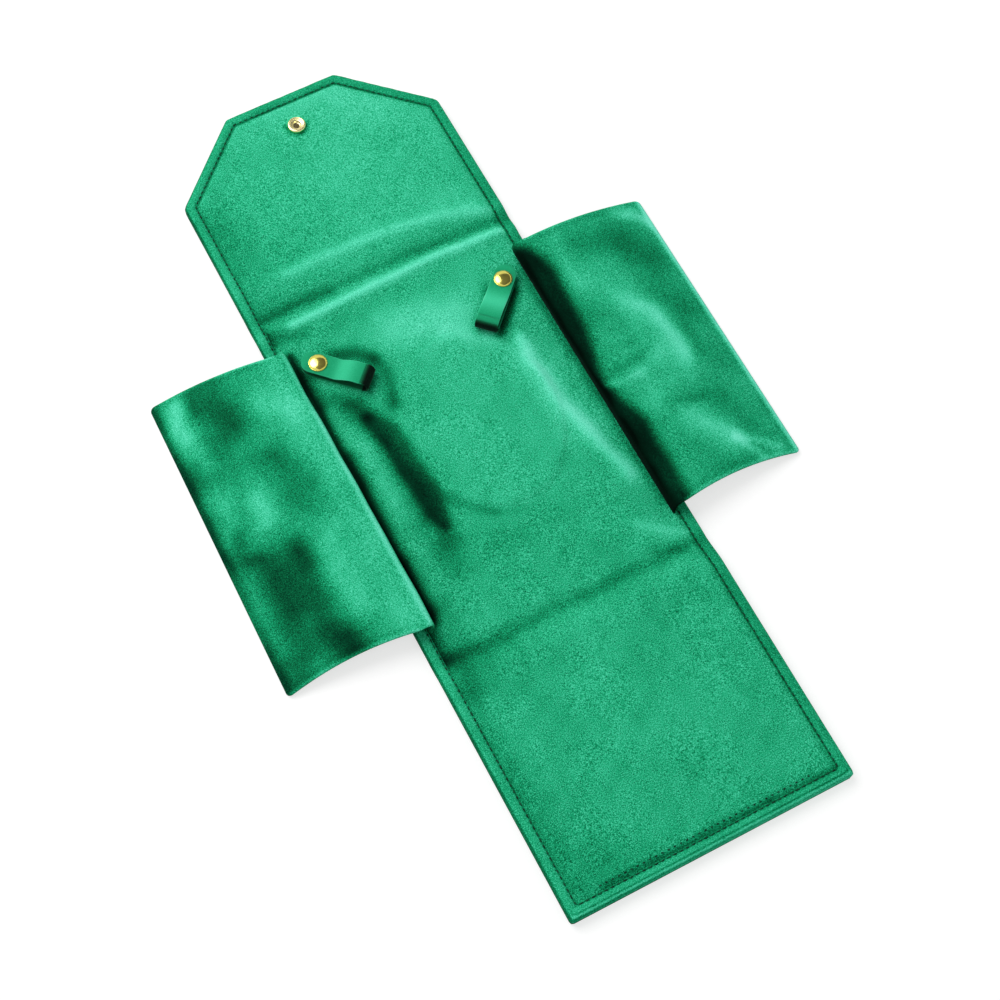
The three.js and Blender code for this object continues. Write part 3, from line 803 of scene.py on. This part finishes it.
# Marks of painted highlight and painted shade on the wings, with x measured out from the crest
wingPaintedLight = {
    "left": [
        (-0.42, 8.0, [(32, 66), (31, 58), (28, 50)]),
        (0.50, 4.0, [(45, 70), (49, 59), (47, 53)]),
        (-0.60, 3.2, [(56, 74), (56, 0)]),
        (-0.36, 3.2, [(56, -5), (56, -44)]),
        (-0.55, 3.2, [(56, -49), (56, -70)]),
        (-0.28, 5.0, [(50, 40), (51, 32)]),
        (0.44, 5.0, [(32.5, 12), (33, 4)]),
        (0.22, 3.5, [(45, 19), (45, 9)]),
        (-0.27, 7.0, [(19, 26), (16, 12), (17, 3)]),
        (-0.14, 7.0, [(36, 42), (38, 30)]),
        (-0.30, 6.0, [(51, -6), (43, -9)]),
        (-0.34, 8.0, [(34, -16), (36, -36)]),
        (-0.46, 7.5, [(31, -52), (29, -62)]),
        (-0.25, 4.0, [(27, -12), (27, -22)]),
        (-0.30, 5.5, [(25, -57), (23, -66)]),
        (-0.25, 5.0, [(41, -14), (41, -56)]),
        (-0.16, 5.0, [(46, -10), (46, -66)]),
        (-0.18, 5.0, [(50, -56), (50, -66)]),
        (0.26, 5.0, [(18, -20), (17.5, -34), (16, -48)]),
        (0.20, 5.0, [(2.5, 70), (2, 30), (2.5, -10), (2.5, -68)]),
        (0.30, 6.0, [(12, 52), (4, 42)]),
        (0.12, 5.0, [(11, -14), (11, -50)]),
        (-0.22, 5.5, [(29, -31), (29, -40)]),
        (0.22, 3.5, [(45, 45), (45, 39)]),
        (-0.24, 3.5, [(39.5, 70), (39.5, 63)]),
        (-0.20, 3.5, [(46, 4), (47, 0)]),
        (0.16, 5.0, [(7, 34), (8, 26)]),
        (-0.18, 4.0, [(6, 11), (9, 9)]),
        (0.22, 2.8, [(-4.6, 36), (-4.6, -66)]),
        (-0.13, 6.0, [(26, 41), (27, 32)]),
        (-0.14, 5.0, [(41, 11), (44, 1)]),
        (-0.12, 5.0, [(25, -14), (26, -36)]),
        (-0.11, 5.0, [(7, -20), (21, -23)]),
        (0.14, 4.0, [(40, -14), (45, -14)]),
    ],
    "right": [
        # shade on the root and over the crest, with a notch at a crease
        (-0.78, 4.2, [(-9, 64), (-3, 64), (-0.5, 58), (1.4, 50), (1, 42), (0, 28), (-0.8, 18), (-2, 10),
                      (-4.4, 1), (-6, -3), (-9, -5), (-9, 64)]),
        (-0.78, 4.2, [(-9, -9), (-6, -11), (-4, -15), (-1.6, -22), (0.8, -30), (0.6, -46), (0.8, -62),
                      (-0.6, -70), (-9, -71), (-9, -9)]),
        (-0.50, 3.0, [(-7, 72), (-7, -72)]),
        # painted highlight along a long fold, soft towards the crest and sharper on its outer side
        (0.16, 3.6, [(13, 67), (9.5, 52), (11, 40)]),
        (0.18, 9.0, [(15, 38), (23, 27), (28, 14), (29, 0), (27, -14)]),
        (0.26, 4.6, [(25, 24), (31.5, 15), (34, 4), (33.2, -10)]),
        (0.16, 3.2, [(29, 19), (33.4, 10), (34.6, 0), (33.6, -10), (32.6, -20)]),
        (0.14, 2.4, [(32.6, 12), (34.6, 3), (34.2, -7)]),
        (-0.20, 3.4, [(41, 2), (40.6, -10)]),
        (-0.08, 5.0, [(38, 24), (42, 10)]),
        # painted highlights and painted shade on the creases across the middle
        (0.30, 1.8, [(-3, -8.6), (5, -9.8), (14, -9.4)]),
        (0.16, 3.4, [(12, -8.5), (22, -6.5), (27, -3)]),
        (-0.13, 1.6, [(4, -3), (14, -3.6), (22, -1)]),
        (0.08, 1.6, [(5, 1), (16, 0.6)]),
        (-0.09, 1.6, [(6, 6), (18, 5.4)]),
        (0.16, 4.6, [(13, -14), (12, -27)]),
        (-0.14, 2.2, [(15, -27.4), (22, -28.4), (31, -30)]),
        (-0.12, 4.6, [(26, -30), (37, -33)]),
        # painted highlight on a fold that fans out into the lower corner
        (0.30, 6.0, [(22.5, -37), (26, -45), (31, -52)]),
        (0.22, 3.4, [(26, -42), (31.5, -49), (35, -57)]),
        (0.34, 1.7, [(33, -53), (37, -60.5), (39.5, -66)]),
        (0.36, 2.0, [(34, -52.5), (41, -58.5), (49, -63.5)]),
        (0.26, 1.4, [(42, -63), (46, -66)]),
        (-0.22, 1.5, [(38, -58.5), (43, -64)]),
        (-0.14, 6.0, [(37, -38), (43, -48)]),
        (-0.10, 5.0, [(12, -61), (24, -63), (31, -65.5)]),
        # painted highlight on the upper corner and painted shade below it
        (0.34, 3.2, [(44, 68), (50, 64), (54.5, 56)]),
        (0.26, 1.7, [(46, 63.5), (52, 60), (55, 52)]),
        (0.20, 1.5, [(40, 67), (46, 62.6)]),
        (0.22, 2.4, [(54.8, 60), (55.4, 36)]),
        (-0.17, 9.0, [(24, 58), (37, 56)]),
        (-0.15, 8.0, [(40, 51), (47, 42)]),
        (-0.12, 9.0, [(40, 38), (47, 14)]),
        (-0.06, 6.0, [(48, 4), (49, -22)]),
    ],
}
wingRelief = {
    "left": [
        (0.5, 6.0, [(49, 60), (46, 48)]), (-0.5, 6.0, [(37, 66), (26, 50)]),
        (-0.5, 7.0, [(42, -8), (28, -22)]), (-0.6, 7.0, [(33, -30), (31, -58)]),
        (0.5, 8.0, [(34, 16), (32, -2)]),
    ],
    "right": [
        (0.6, 3.0, [(0, -8), (10, -9), (22, -11)]), (-0.4, 4.0, [(4, -18), (14, -20)]),
        (0.5, 5.0, [(23, 26), (33, 8), (34, -16)]), (0.5, 4.0, [(20, -38), (38, -63)]),
        (-0.4, 5.0, [(36, 34), (46, 8)]), (-0.4, 4.0, [(31, -29), (42, -48)]),
    ],
}


# Stations from 0 to a length, close together near the ends
def stations(length):
    near = wing["near"]
    between = length - 2 * near[-1]
    inner = np.linspace(near[-1], length - near[-1], max(2, round(between / wing["step"])) + 1)
    return np.concatenate([near[:-1], inner, length - np.array(near[:-1][::-1])])


def wingY(side, out, share):
    ends = wingEnds[side]
    t = out / wing["reach"]
    topBow, bottomBow = (4 * t * (1 - t) * bow for bow in wing["bow"])
    return mix(mix(*ends["bottom"], t) + bottomBow, mix(*ends["top"], t) + topBow, share)


# Square corners pulled to a quarter circle; also gives each point's distance to the edge
def roundCorners(fromSide, fromEnd, radius):
    px, py = np.maximum(radius - fromSide, 0), np.maximum(radius - fromEnd, 0)
    shrink = np.maximum(px, py) / np.maximum(np.hypot(px, py), 1e-9)
    corner = (px > 0) & (py > 0)
    toEdge = np.minimum(fromSide, fromEnd)
    newSide = np.where(corner, radius - px * shrink, fromSide)
    newEnd = np.where(corner, radius - py * shrink, fromEnd)
    return newSide, newEnd, toEdge


# a wing's tone: painted highlights and painted shade from its marks, and a drift of the pile's own tone
def wingTone(side, out, y):
    warpOut = out + uneven(out, y, wing["warpOut"])
    warpY = y + uneven(out, y, wing["warpY"])
    return marksAt(warpOut, warpY, wingPaintedLight[side]) + uneven(out, y, wing["drift"])


def makeWing(side, sign):
    crestX, _, crestZ = jointAxis(f"{side}_wing_fold")
    ends = wingEnds[side]
    length = ends["top"][0] - ends["bottom"][0]
    gridOut, gridAlong = np.meshgrid(stations(wing["reach"]), stations(length))
    upper = gridAlong > length / 2
    fromSide, fromEnd, toEdge = roundCorners(
        wing["reach"] - gridOut, np.where(upper, length - gridAlong, gridAlong), wing["corner"])
    out = wing["reach"] - fromSide
    outShare = out / wing["reach"]
    share = np.where(upper, length - fromEnd, fromEnd) / length
    y = wingY(side, out, share)

    fall = crestZ - wing["ground"] - wing["rim"]
    rimCalm, crestCalm = wing["calm"]
    relief = marksAt(out, y, wingRelief[side]) + uneven(out, y, wing["lumps"])
    pucker = np.sin(y * wing["puckerTurn"] + uneven(out, y, wing["puckerShift"]))
    seam = bandsAt(toEdge, wing["pucker"]) * pucker + bandsAt(toEdge, wing["seam"])
    topLine = crestZ - fall * outShare ** wing["sag"]
    topLine = topLine + relief * ease(toEdge / rimCalm) * ease(out / crestCalm)
    topLine = topLine + seam * ease(out / wing["crestFade"])
    # full over most of its face, thin at the outer edge and the ends
    full = wing["rim"] + wing["puff"] * (1 - outShare ** 4) * (1 - np.abs(2 * share - 1) ** 6)
    under = np.maximum(topLine - full * quarterRound(out, wing["crestRoll"]), wing["ground"])
    middle = (topLine + under) / 2
    half = (topLine - under) / 2 * quarterRound(toEdge, wing["roll"])
    pastTop, pastBottom = ends["past"]
    x = sign * (abs(crestX) + out + outShare * mix(pastBottom, pastTop, share))
    top = np.stack([x, y, middle + half], -1).reshape(-1, 3)
    bottom = np.stack([x, y, middle - half], -1).reshape(-1, 3)

    distances = (fromSide, (1 - share) * length, share * length)
    outerLight, topLight, bottomLight = (
        bandsAt(distance, (light, *at))
        for distance, light, at in zip(distances, ends["edgeLight"], wing["lightAt"])
    )
    toneAndPaintedLight = wingTone(side, out, y) + bandsAt(toEdge, wing["seamShade"])
    toneAndPaintedLight += outerLight + bottomLight + topLight * (1 - ease(out, *wing["topFade"]))
    below = wing["undersideShade"] + uneven(out, y, *wing["underDrift"])
    below = mix(toneAndPaintedLight, below, ease(out / wing["crestFade"]))  # both layers match where they meet
    toneAndPaintedLight = np.concatenate([toneAndPaintedLight.ravel(), below.ravel()])
    rows, columns = out.shape
    faces = gridFaces(rows, columns, flip=sign < 0)
    faces += gridFaces(rows, columns, start=rows * columns, flip=sign > 0)
    pad = makePiece(f"{side}_wing", np.concatenate([top, bottom]), faces, wingVelvet, toneAndPaintedLight)
    for edge in pad.data.edges:  # the crest keeps its shading, where both layers meet
        farthest = max(abs(pad.data.vertices[k].co.x) for k in edge.vertices)
        edge.use_edge_sharp = farthest < (abs(crestX) + 0.01) * mm
    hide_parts(f"{side}_wing_face", f"{side}_wing_wadding", f"{side}_wing_back")
    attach(pad, f"{side}_wing")


# The root rises from its seam, bulges towards the middle and rolls over level at the crest
root = {
    "foot": boxMm("right_wing_root")[0].x, "sink": 0.4,  # its foot's x, and how far it sinks in the lining
    # control points of its section, counted from the foot, the bulge (twice) and the crest; the last one
    # lies under the wing's edge
    "curve": [(0.4, 0.0), (0.0, -1.5), (-0.3, 0.6), (0.7, -0.15)], "steps": 30,
    "thickness": 1.3, "taper": 0.25,  # and the share of its run over which it thins out
    "flat": 13.0, "endRoll": 1.0,
    "wave": (0.2, 31, 51),
    "lean": (1.3, 3.0),  # the bulge's lean grows with height and ends this far from the crest
    "rollLight": (-0.3, 0.9), "rollFrom": (2.2, 2.5),  # height at the crest, and distance from it
    # its back, under the wing, is given painted shade
    "hidden": 2.0, "backShade": -0.4,  # its back, up to this distance from the crest
}


def makeRoot(side, sign):
    crestX, _, crestZ = jointAxis(f"{side}_wing_fold")
    crestX = abs(crestX)
    ends = wingEnds[side]
    base = strip["liningTop"] - root["sink"]
    bulge = sum(ends["bulge"]) / 2
    anchors = [(root["foot"], base), (bulge, crestZ), (bulge, crestZ), (crestX, crestZ)]
    t = np.linspace(0, 1, root["steps"])[:, None]
    weights = [(1 - t) ** 3, 3 * t * (1 - t) ** 2, 3 * t ** 2 * (1 - t), t ** 3]
    face = sum(weight * point for weight, point in zip(weights, np.add(anchors, root["curve"])))
    run = np.gradient(face, axis=0)
    across = np.stack([run[:, 1], -run[:, 0]], -1) / np.hypot(*run.T)[:, None]
    backFace = face + across * root["thickness"] * np.sqrt(np.clip((1 - t) / root["taper"], 0, 1))
    middle = (face + backFace) / 2
    section = np.concatenate([face, backFace[-2::-1], face[:1]])
    centre = np.concatenate([middle, middle[-2::-1], middle[:1]])
    length = ends["top"][0] - ends["bottom"][0]
    leanRise, leanEnd = root["lean"]
    shares = stations(length) / length
    points = []
    ringTones = []
    for share in shares:
        y = np.full(len(section), wingY(side, 0, share))
        ending = quarterRound(min(share, 1 - share) * length, root["endRoll"])
        ringX, ringZ = mix(centre, section, ending).T
        lean = (ends["bulge"][1] - ends["bulge"][0]) * (share - 0.5) + uneven(y, ringZ, root["wave"])
        rise = (ringZ - base) / (crestZ - base)
        x = ringX - lean * ease(rise * leanRise) * ease((crestX - ringX) / leanEnd)
        points.append(np.stack([sign * x, y, ringZ], -1))
        rolled = bandsAt(ringZ - crestZ, (ends["crestLight"], *root["rollLight"]))
        tone = wingTone(side, x - crestX, y) + rolled * ease(crestX - x, *root["rollFrom"])
        hidden = (np.arange(len(tone)) >= len(face)) & (x < crestX - root["hidden"])
        ringTones.append(np.where(hidden, root["backShade"], tone))
    faces = gridFaces(len(shares), len(section), flip=sign > 0)
    band = makePiece(f"{side}_wing_root_band", np.concatenate(points), faces, wingVelvet,
                     np.concatenate(ringTones))
    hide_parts(f"{side}_wing_root")
    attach(band, "back_panel")


for side, sign in sides.items():
    makeWing(side, sign)
    makeRoot(side, sign)
print("wings padded")


# Snap loops: suede ribbon sewn down at one end, folded over and snapped back on itself.
# Lengths along a ribbon are counted from the middle of its cap.
loop = {
    "tail": 7.5, "snapFlat": 4.0, "width": 10.0, "thickness": 0.7,
    "section": [  # in shares of half the width and half the thickness
        (-1, 0), (-0.975, 0.75), (-0.9, 1), (-0.45, 1.06), (0, 1.08), (0.45, 1.06), (0.9, 1), (0.975, 0.75),
        (1, 0), (0.975, -0.75), (0.9, -1), (0, -1), (-0.9, -1), (-0.975, -0.75),
    ],
    "tip": 0.06,  # narrowest share of the width, at the rounded end
    "steps": (26, 17, 34),  # along the sewn run, the bend and the run that opens
    "bendGap": 0.5,  # between the sewn run's last point and the bend's first
    "slit": 0.06,  # between the folded end and the run that opens
    "reach": {"left": 24.0, "right": 25.0},
    "dip": {"left": 0.9, "right": 0.3},  # of the run after the snap
    "swell": {"left": 0.5, "right": 0.2},  # of the run before the end, under the folded wing
    "tone": -0.12, "tailFade": (3.0, 3.0),  # behind the cap the tone fades out
    # painted tone along the ribbon: a highlight on the raised run, painted shade towards the end, on the
    # bend and inside the fold, and a painted highlight on the cut edges
    "sheen": {"left": 0.44, "right": 0.62}, "sheenAt": (12.0, 5.5),  # of the raised run
    "endShade": {"left": (4.4, 3.0), "right": (2.5, 2.2)},  # from the end to where it starts, and how softly
    "endDepth": 1.2, "bendShade": -1.0, "insideShade": -0.5,
    "edge": 0.96, "edgeLight": 0.3,  # cut edges, past this share of the width, catch the light
}


def ribbonPiece(name, path, side, sign, toneAndPaintedLight):
    half, thick = loop["width"] / 2, loop["thickness"] / 2
    path = np.array(path)
    run = np.gradient(path, axis=0)
    run /= np.hypot(*run.T)[:, None]
    (centreX, centreY), _, _ = middleOf(f"{side}_loop_cap")
    turn = -math.pi / 2 - sign * math.pi / 4
    points = []
    for (u, z), (du, dz) in zip(path, run):
        narrow = math.sqrt(max(0.0, 1 - (max(0.0, half - loop["tail"] - u) / half) ** 2))
        for out, up in loop["section"]:
            along = u - dz * up * thick
            across = out * half * max(narrow, loop["tip"])
            points.append((
                centreX + along * math.cos(turn) - across * math.sin(turn),
                centreY + along * math.sin(turn) + across * math.cos(turn),
                z + du * up * thick,
            ))
    count = len(loop["section"])
    faces = gridFaces(len(path), count, closed=True)
    faces.append(tuple(range(count - 1, -1, -1)))
    faces.append(tuple(range((len(path) - 1) * count, len(path) * count)))
    # painted highlight along the cut edges
    edges = [loop["edgeLight"] if abs(out) > loop["edge"] else 0.0 for out, _ in loop["section"]]
    lean = np.repeat(toneAndPaintedLight(*path.T), count) + np.tile(edges, len(path))
    ribbon = makePiece(name, points, faces, ribbonSuede, lean)
    return ribbon


def makeLoop(side, sign):
    thick, slit, reach = loop["thickness"], loop["slit"], loop["reach"][side]
    baseLow, baseHigh = boxMm(f"{side}_loop_base")
    low, top = baseLow.z + thick / 2, baseHigh.z - thick / 2
    snapZ = boxMm(f"{side}_loop_arm")[0].z + thick / 2
    hinge = math.dist(jointAxis(f"{side}_loop_open")[:2], middleOf(f"{side}_loop_cap")[0])
    middle, bend = (low + top) / 2, (top - low) / 2
    turnAt = reach - thick / 2 - bend
    sewnSteps, bendSteps, armSteps = loop["steps"]
    lower = [(u, low) for u in np.linspace(-loop["tail"], turnAt - loop["bendGap"], sewnSteps)]
    lower += [
        (turnAt + bend * math.cos(angle), middle + bend * math.sin(angle))
        for angle in np.linspace(-math.pi / 2, math.pi / 2, bendSteps)
    ]
    if hinge + slit < turnAt - 0.05:  # the folded end runs back to the hinge
        lower.append((hinge + slit, top))
    armAt = np.linspace(-loop["tail"], hinge - slit, armSteps)
    share = np.clip((armAt - loop["snapFlat"]) / (hinge - loop["snapFlat"]), 0, 1)
    wave = np.where(share < 0.5, loop["dip"][side], loop["swell"][side]) * np.sin(2 * math.pi * share)
    wave *= ease(3 * share) * ease(3 - 3 * share)
    arm = list(zip(armAt, mix(snapZ, top, ease(share)) - wave))
    shadeFrom, shadeSoft = loop["endShade"][side]

    # painted highlight and painted shade along the ribbon
    def lean(u, z):
        over = bandsAt(u, (loop["sheen"][side], *loop["sheenAt"]))
        over = over + loop["tone"] * (1 - ease(-u, *loop["tailFade"]))
        over = over - loop["endDepth"] * ease(u, reach - shadeFrom, shadeSoft)
        return np.where(z > middle, over, np.where(u > turnAt, loop["bendShade"], loop["insideShade"]))

    base = ribbonPiece(f"{side}_loop_ribbon_base", lower, side, sign, lean)
    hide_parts(f"{side}_loop_base")
    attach(base, "back_panel")
    upper = ribbonPiece(f"{side}_loop_ribbon_arm", arm, side, sign, lean)
    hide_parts(f"{side}_loop_arm")
    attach(upper, f"{side}_loop")


for side, sign in sides.items():
    makeLoop(side, sign)
print("loops folded")


# Snap fasteners, turned from profiles of (radius, height) that start and end on the axis
snap = {
    "around": 64, "domeSteps": 20,
    "capRadius": 4.0, "studRadius": 1.6, "flange": (3.6, 0.6),  # radius and height of the stud's foot
    # radius of a socket and of its bore, and height of the bore's floor
    "loopSocket": (3.6, 2.0, 0.35), "flapSocket": (4.2, 1.95, 0.1),
    # painted shade darkens a bore's floor within this radius
    "hole": 1.25, "boreShade": -0.8,  # a bore is dark within this radius
}


def turnedPiece(name, node, body, profile, base, flip=False, shadedWithin=0.0, plate=goldBright):
    (centreX, centreY), _, _ = middleOf(node)
    around = snap["around"]
    points = []
    for radius, height in profile:
        for k in range(around):
            turn = 2 * math.pi * k / around
            z = base - height if flip else base + height
            points.append((centreX + radius * math.cos(turn), centreY + radius * math.sin(turn), z))
    faces = gridFaces(len(profile), around, flip=flip, closed=True)
    boreShade = np.repeat([snap["boreShade"] if radius < shadedWithin else 0.0 for radius, _ in profile], around)
    piece = makePiece(name, points, faces, plate, boreShade)
    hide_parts(node)
    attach(piece, body)


# A rounded corner between two profile points, by way of their corner
def bendIn(start, corner, stop, steps=6):
    t = np.linspace(0, 1, steps)[:, None]
    curve = (1 - t) ** 2 * np.array(start) + 2 * t * (1 - t) * np.array(corner) + t * t * np.array(stop)
    return curve.tolist()


# Profiles, with their turns in shares of a radius and a height
def capProfile(height):
    radius = snap["capRadius"]
    dome = [(radius * 0.95 * math.sin(a), height * (0.28 + 0.72 * math.cos(a)))
            for a in np.linspace(math.pi / 2 * 0.93, 0.03, snap["domeSteps"])]
    rim = bendIn((radius * 0.86, 0.0), (radius, 0.0), (radius, height * 0.16))
    rim += bendIn((radius, height * 0.16), (radius, height * 0.36), (radius * 0.955, height * 0.37))
    return [(0.0, 0.0), *rim, *dome, (0.0, height)]


def socketProfile(height, radius, bore, floor):
    outer = bendIn((radius, 0.0), (radius, height), (radius * 0.8, height), 9)
    lip = bendIn((radius * 0.8, height), (radius * 0.7, height), (radius * 0.68, height * 0.72))
    inner = bendIn((radius * 0.62, height * 0.72), (bore * 1.1, height * 0.75), (bore, height * 0.55))
    return [(0.0, 0.0), *outer, *lip, *inner, (bore, floor), (bore * 0.6, floor), (0.0, floor)]


def studProfile(height):
    radius, (flangeRadius, flange) = snap["studRadius"], snap["flange"]
    waist, shoulder = mix(flange, height, 0.4), mix(flange, height, 0.62)
    foot = bendIn((flangeRadius, 0.0), (flangeRadius, flange), (flangeRadius * 0.86, flange))
    neck = bendIn((radius, flange), (radius * 0.72, flange), (radius * 0.76, waist))
    head = bendIn((radius, shoulder), (radius, height), (radius * 0.3, height), 8)
    return [(0.0, 0.0), *foot, *neck, *head, (0.0, height)]


for side in sides:
    _, low, high = middleOf(f"{side}_loop_cap")
    under = low + loop["thickness"]
    turnedPiece(f"{side}_loop_snap_cap", f"{side}_loop_cap", f"{side}_loop", capProfile(high - under), under)
    _, low, high = middleOf(f"{side}_loop_socket")
    turnedPiece(f"{side}_loop_snap_socket", f"{side}_loop_socket", f"{side}_loop",
                socketProfile(high - low, *snap["loopSocket"]), high, flip=True, shadedWithin=snap["hole"])
    _, low, high = middleOf(f"{side}_loop_stud")
    turnedPiece(f"{side}_loop_snap_stud", f"{side}_loop_stud", "back_panel", studProfile(high - low), low)
flapTop = strip["liningTop"] + strip["flapLift"]
socketHeight = boxMm("flap_snap_socket")[1].z - flapTop
turnedPiece("flap_socket", "flap_snap_socket", "flap", socketProfile(socketHeight, *snap["flapSocket"]),
            flapTop, shadedWithin=snap["hole"], plate=goldPaintedLit)
turnedPiece("flap_cap", "flap_snap_cap", "flap", capProfile(strip["flapLift"]), strip["flapLift"], flip=True)
_, low, high = middleOf("front_snap_stud")
turnedPiece("front_stud", "front_snap_stud", "front", studProfile(high - low), high, flip=True)
print("snaps turned")

# Layers that stay hidden inside keep their solids
for node, material in (
    ("back_interlining", needledFelt), ("flap_interlining", needledFelt), ("front_interlining", needledFelt),
    ("round_insert", flexibleSheet), ("front_snap_eyelet", goldBright),
):
    frame["nodes"][node].data.materials.clear()
    frame["nodes"][node].data.materials.append(material)


# White studio: a pale floor that keeps the soft shadow, an even sky and one large softbox behind
studio = {
    "floorSize": 6000.0, "floorColor": "#b8b8b8",
    "floorGlow": (0.63, 0.85), "glowAt": (350.0, 1600.0),  # near the pouch and far from it, and where
    "sky": 0.6,
    "softbox": {"size": 1240.0, "watts": 13.0, "from": (-420.0, 760.0, 1150.0)},
    # cards overhead, out of view: one shades the pouch a little, the other two show only in reflections,
    # chiefly on the snaps
    "cards": {
        "shade_card": {"size": (1650.0, 1750.0), "at": (700.0, 540.0, 1500.0), "color": "#a0a0a0",
                       "glow": 0.0, "shades": True},
        "mirror_card": {"size": (2300.0, 2500.0), "at": (800.0, 250.0, 1480.0), "color": "#b0b0b0",
                        "glow": 0.0, "shades": False},
        "glint_card": {"size": (760.0, 760.0), "at": (-420.0, 720.0, 1080.0), "color": "#ffffff",
                       "glow": 7.0, "shades": False},
    },
}


# 1 for what the camera sees, straight or in a mirror, and 0 for what only lights a surface
def seenRay(tree):
    rays = addNode(tree, "ShaderNodeLightPath").outputs
    seen = rays["Is Camera Ray"]
    for kind in ("Is Glossy Ray", "Is Transmission Ray"):
        seen = addNode(tree, "ShaderNodeMath", {0: seen, 1: rays[kind]}, operation="MAXIMUM").outputs[0]
    return seen


def makeBoard(name, size, at):
    corners = [
        ((at[0] + sx * size[0] / 2) * mm, (at[1] + sy * size[1] / 2) * mm, at[2] * mm)
        for sx, sy in ((-1, -1), (1, -1), (1, 1), (-1, 1))
    ]
    mesh = bpy.data.meshes.new(name)
    mesh.from_pydata(corners, [], [(0, 1, 2, 3)])
    board = bpy.data.objects.new(name, mesh)
    scene.collection.objects.link(board)
    return board


# A matt coat of paint on a board, with a glow of its own
def paintBoard(board, material, color, glow):
    tree = material.node_tree
    matt = addNode(tree, "ShaderNodeBsdfDiffuse", {"Color": hexColor(color)})
    shine = addNode(tree, "ShaderNodeEmission", {"Strength": glow})
    both = addNode(tree, "ShaderNodeAddShader", {0: matt.outputs[0], 1: shine.outputs[0]})
    addNode(tree, "ShaderNodeOutputMaterial", {"Surface": both.outputs[0]})
    board.data.materials.append(material)


def makeStudio():
    floor = makeBoard("floor", (studio["floorSize"], studio["floorSize"]), (0.0, 0.0, 0.0))
    material, tree = newMaterial("painted_board")
    spot = addNode(tree, "ShaderNodeNewGeometry").outputs["Position"]
    away = addNode(tree, "ShaderNodeVectorMath", {0: spot}, operation="LENGTH").outputs["Value"]
    (near, far), (start, stop) = studio["floorGlow"], studio["glowAt"]
    level = addNode(tree, "ShaderNodeMapRange", {
        "Value": away, "From Min": start * mm, "From Max": stop * mm, "To Min": near, "To Max": far,
    }, interpolation_type="SMOOTHSTEP").outputs[0]
    glow = addNode(tree, "ShaderNodeMath", {0: seenRay(tree), 1: level}, operation="MULTIPLY").outputs[0]
    paintBoard(floor, material, studio["floorColor"], glow)

    for name, card in studio["cards"].items():
        hung = makeBoard(name, card["size"], card["at"])
        hung.visible_camera = False
        hung.visible_diffuse = hung.visible_shadow = card["shades"]
        paintBoard(hung, newMaterial(f"painted_{name}")[0], card["color"], card["glow"])

    world = bpy.data.worlds.new("studio")
    world.use_nodes = True
    tree = world.node_tree
    tree.nodes.clear()
    level = addNode(tree, "ShaderNodeMath", {
        0: seenRay(tree), 1: 1 - studio["sky"], 2: studio["sky"],
    }, operation="MULTIPLY_ADD")
    sky = addNode(tree, "ShaderNodeBackground", {"Color": hexColor("#ffffff"), "Strength": level.outputs[0]})
    addNode(tree, "ShaderNodeOutputWorld", {"Surface": sky.outputs[0]})
    scene.world = world

    box = studio["softbox"]
    lamp = bpy.data.lights.new("softbox", "AREA")
    lamp.shape = "DISK"
    lamp.size = box["size"] * mm
    lamp.energy = box["watts"]
    light = bpy.data.objects.new("softbox", lamp)
    light.location = Vector(box["from"]) * mm
    light.rotation_mode = "QUATERNION"
    light.rotation_quaternion = (-light.location).to_track_quat("-Z", "Y")
    scene.collection.objects.link(light)
    scene.view_settings.view_transform = "Standard"


makeStudio()
print("studio lit")
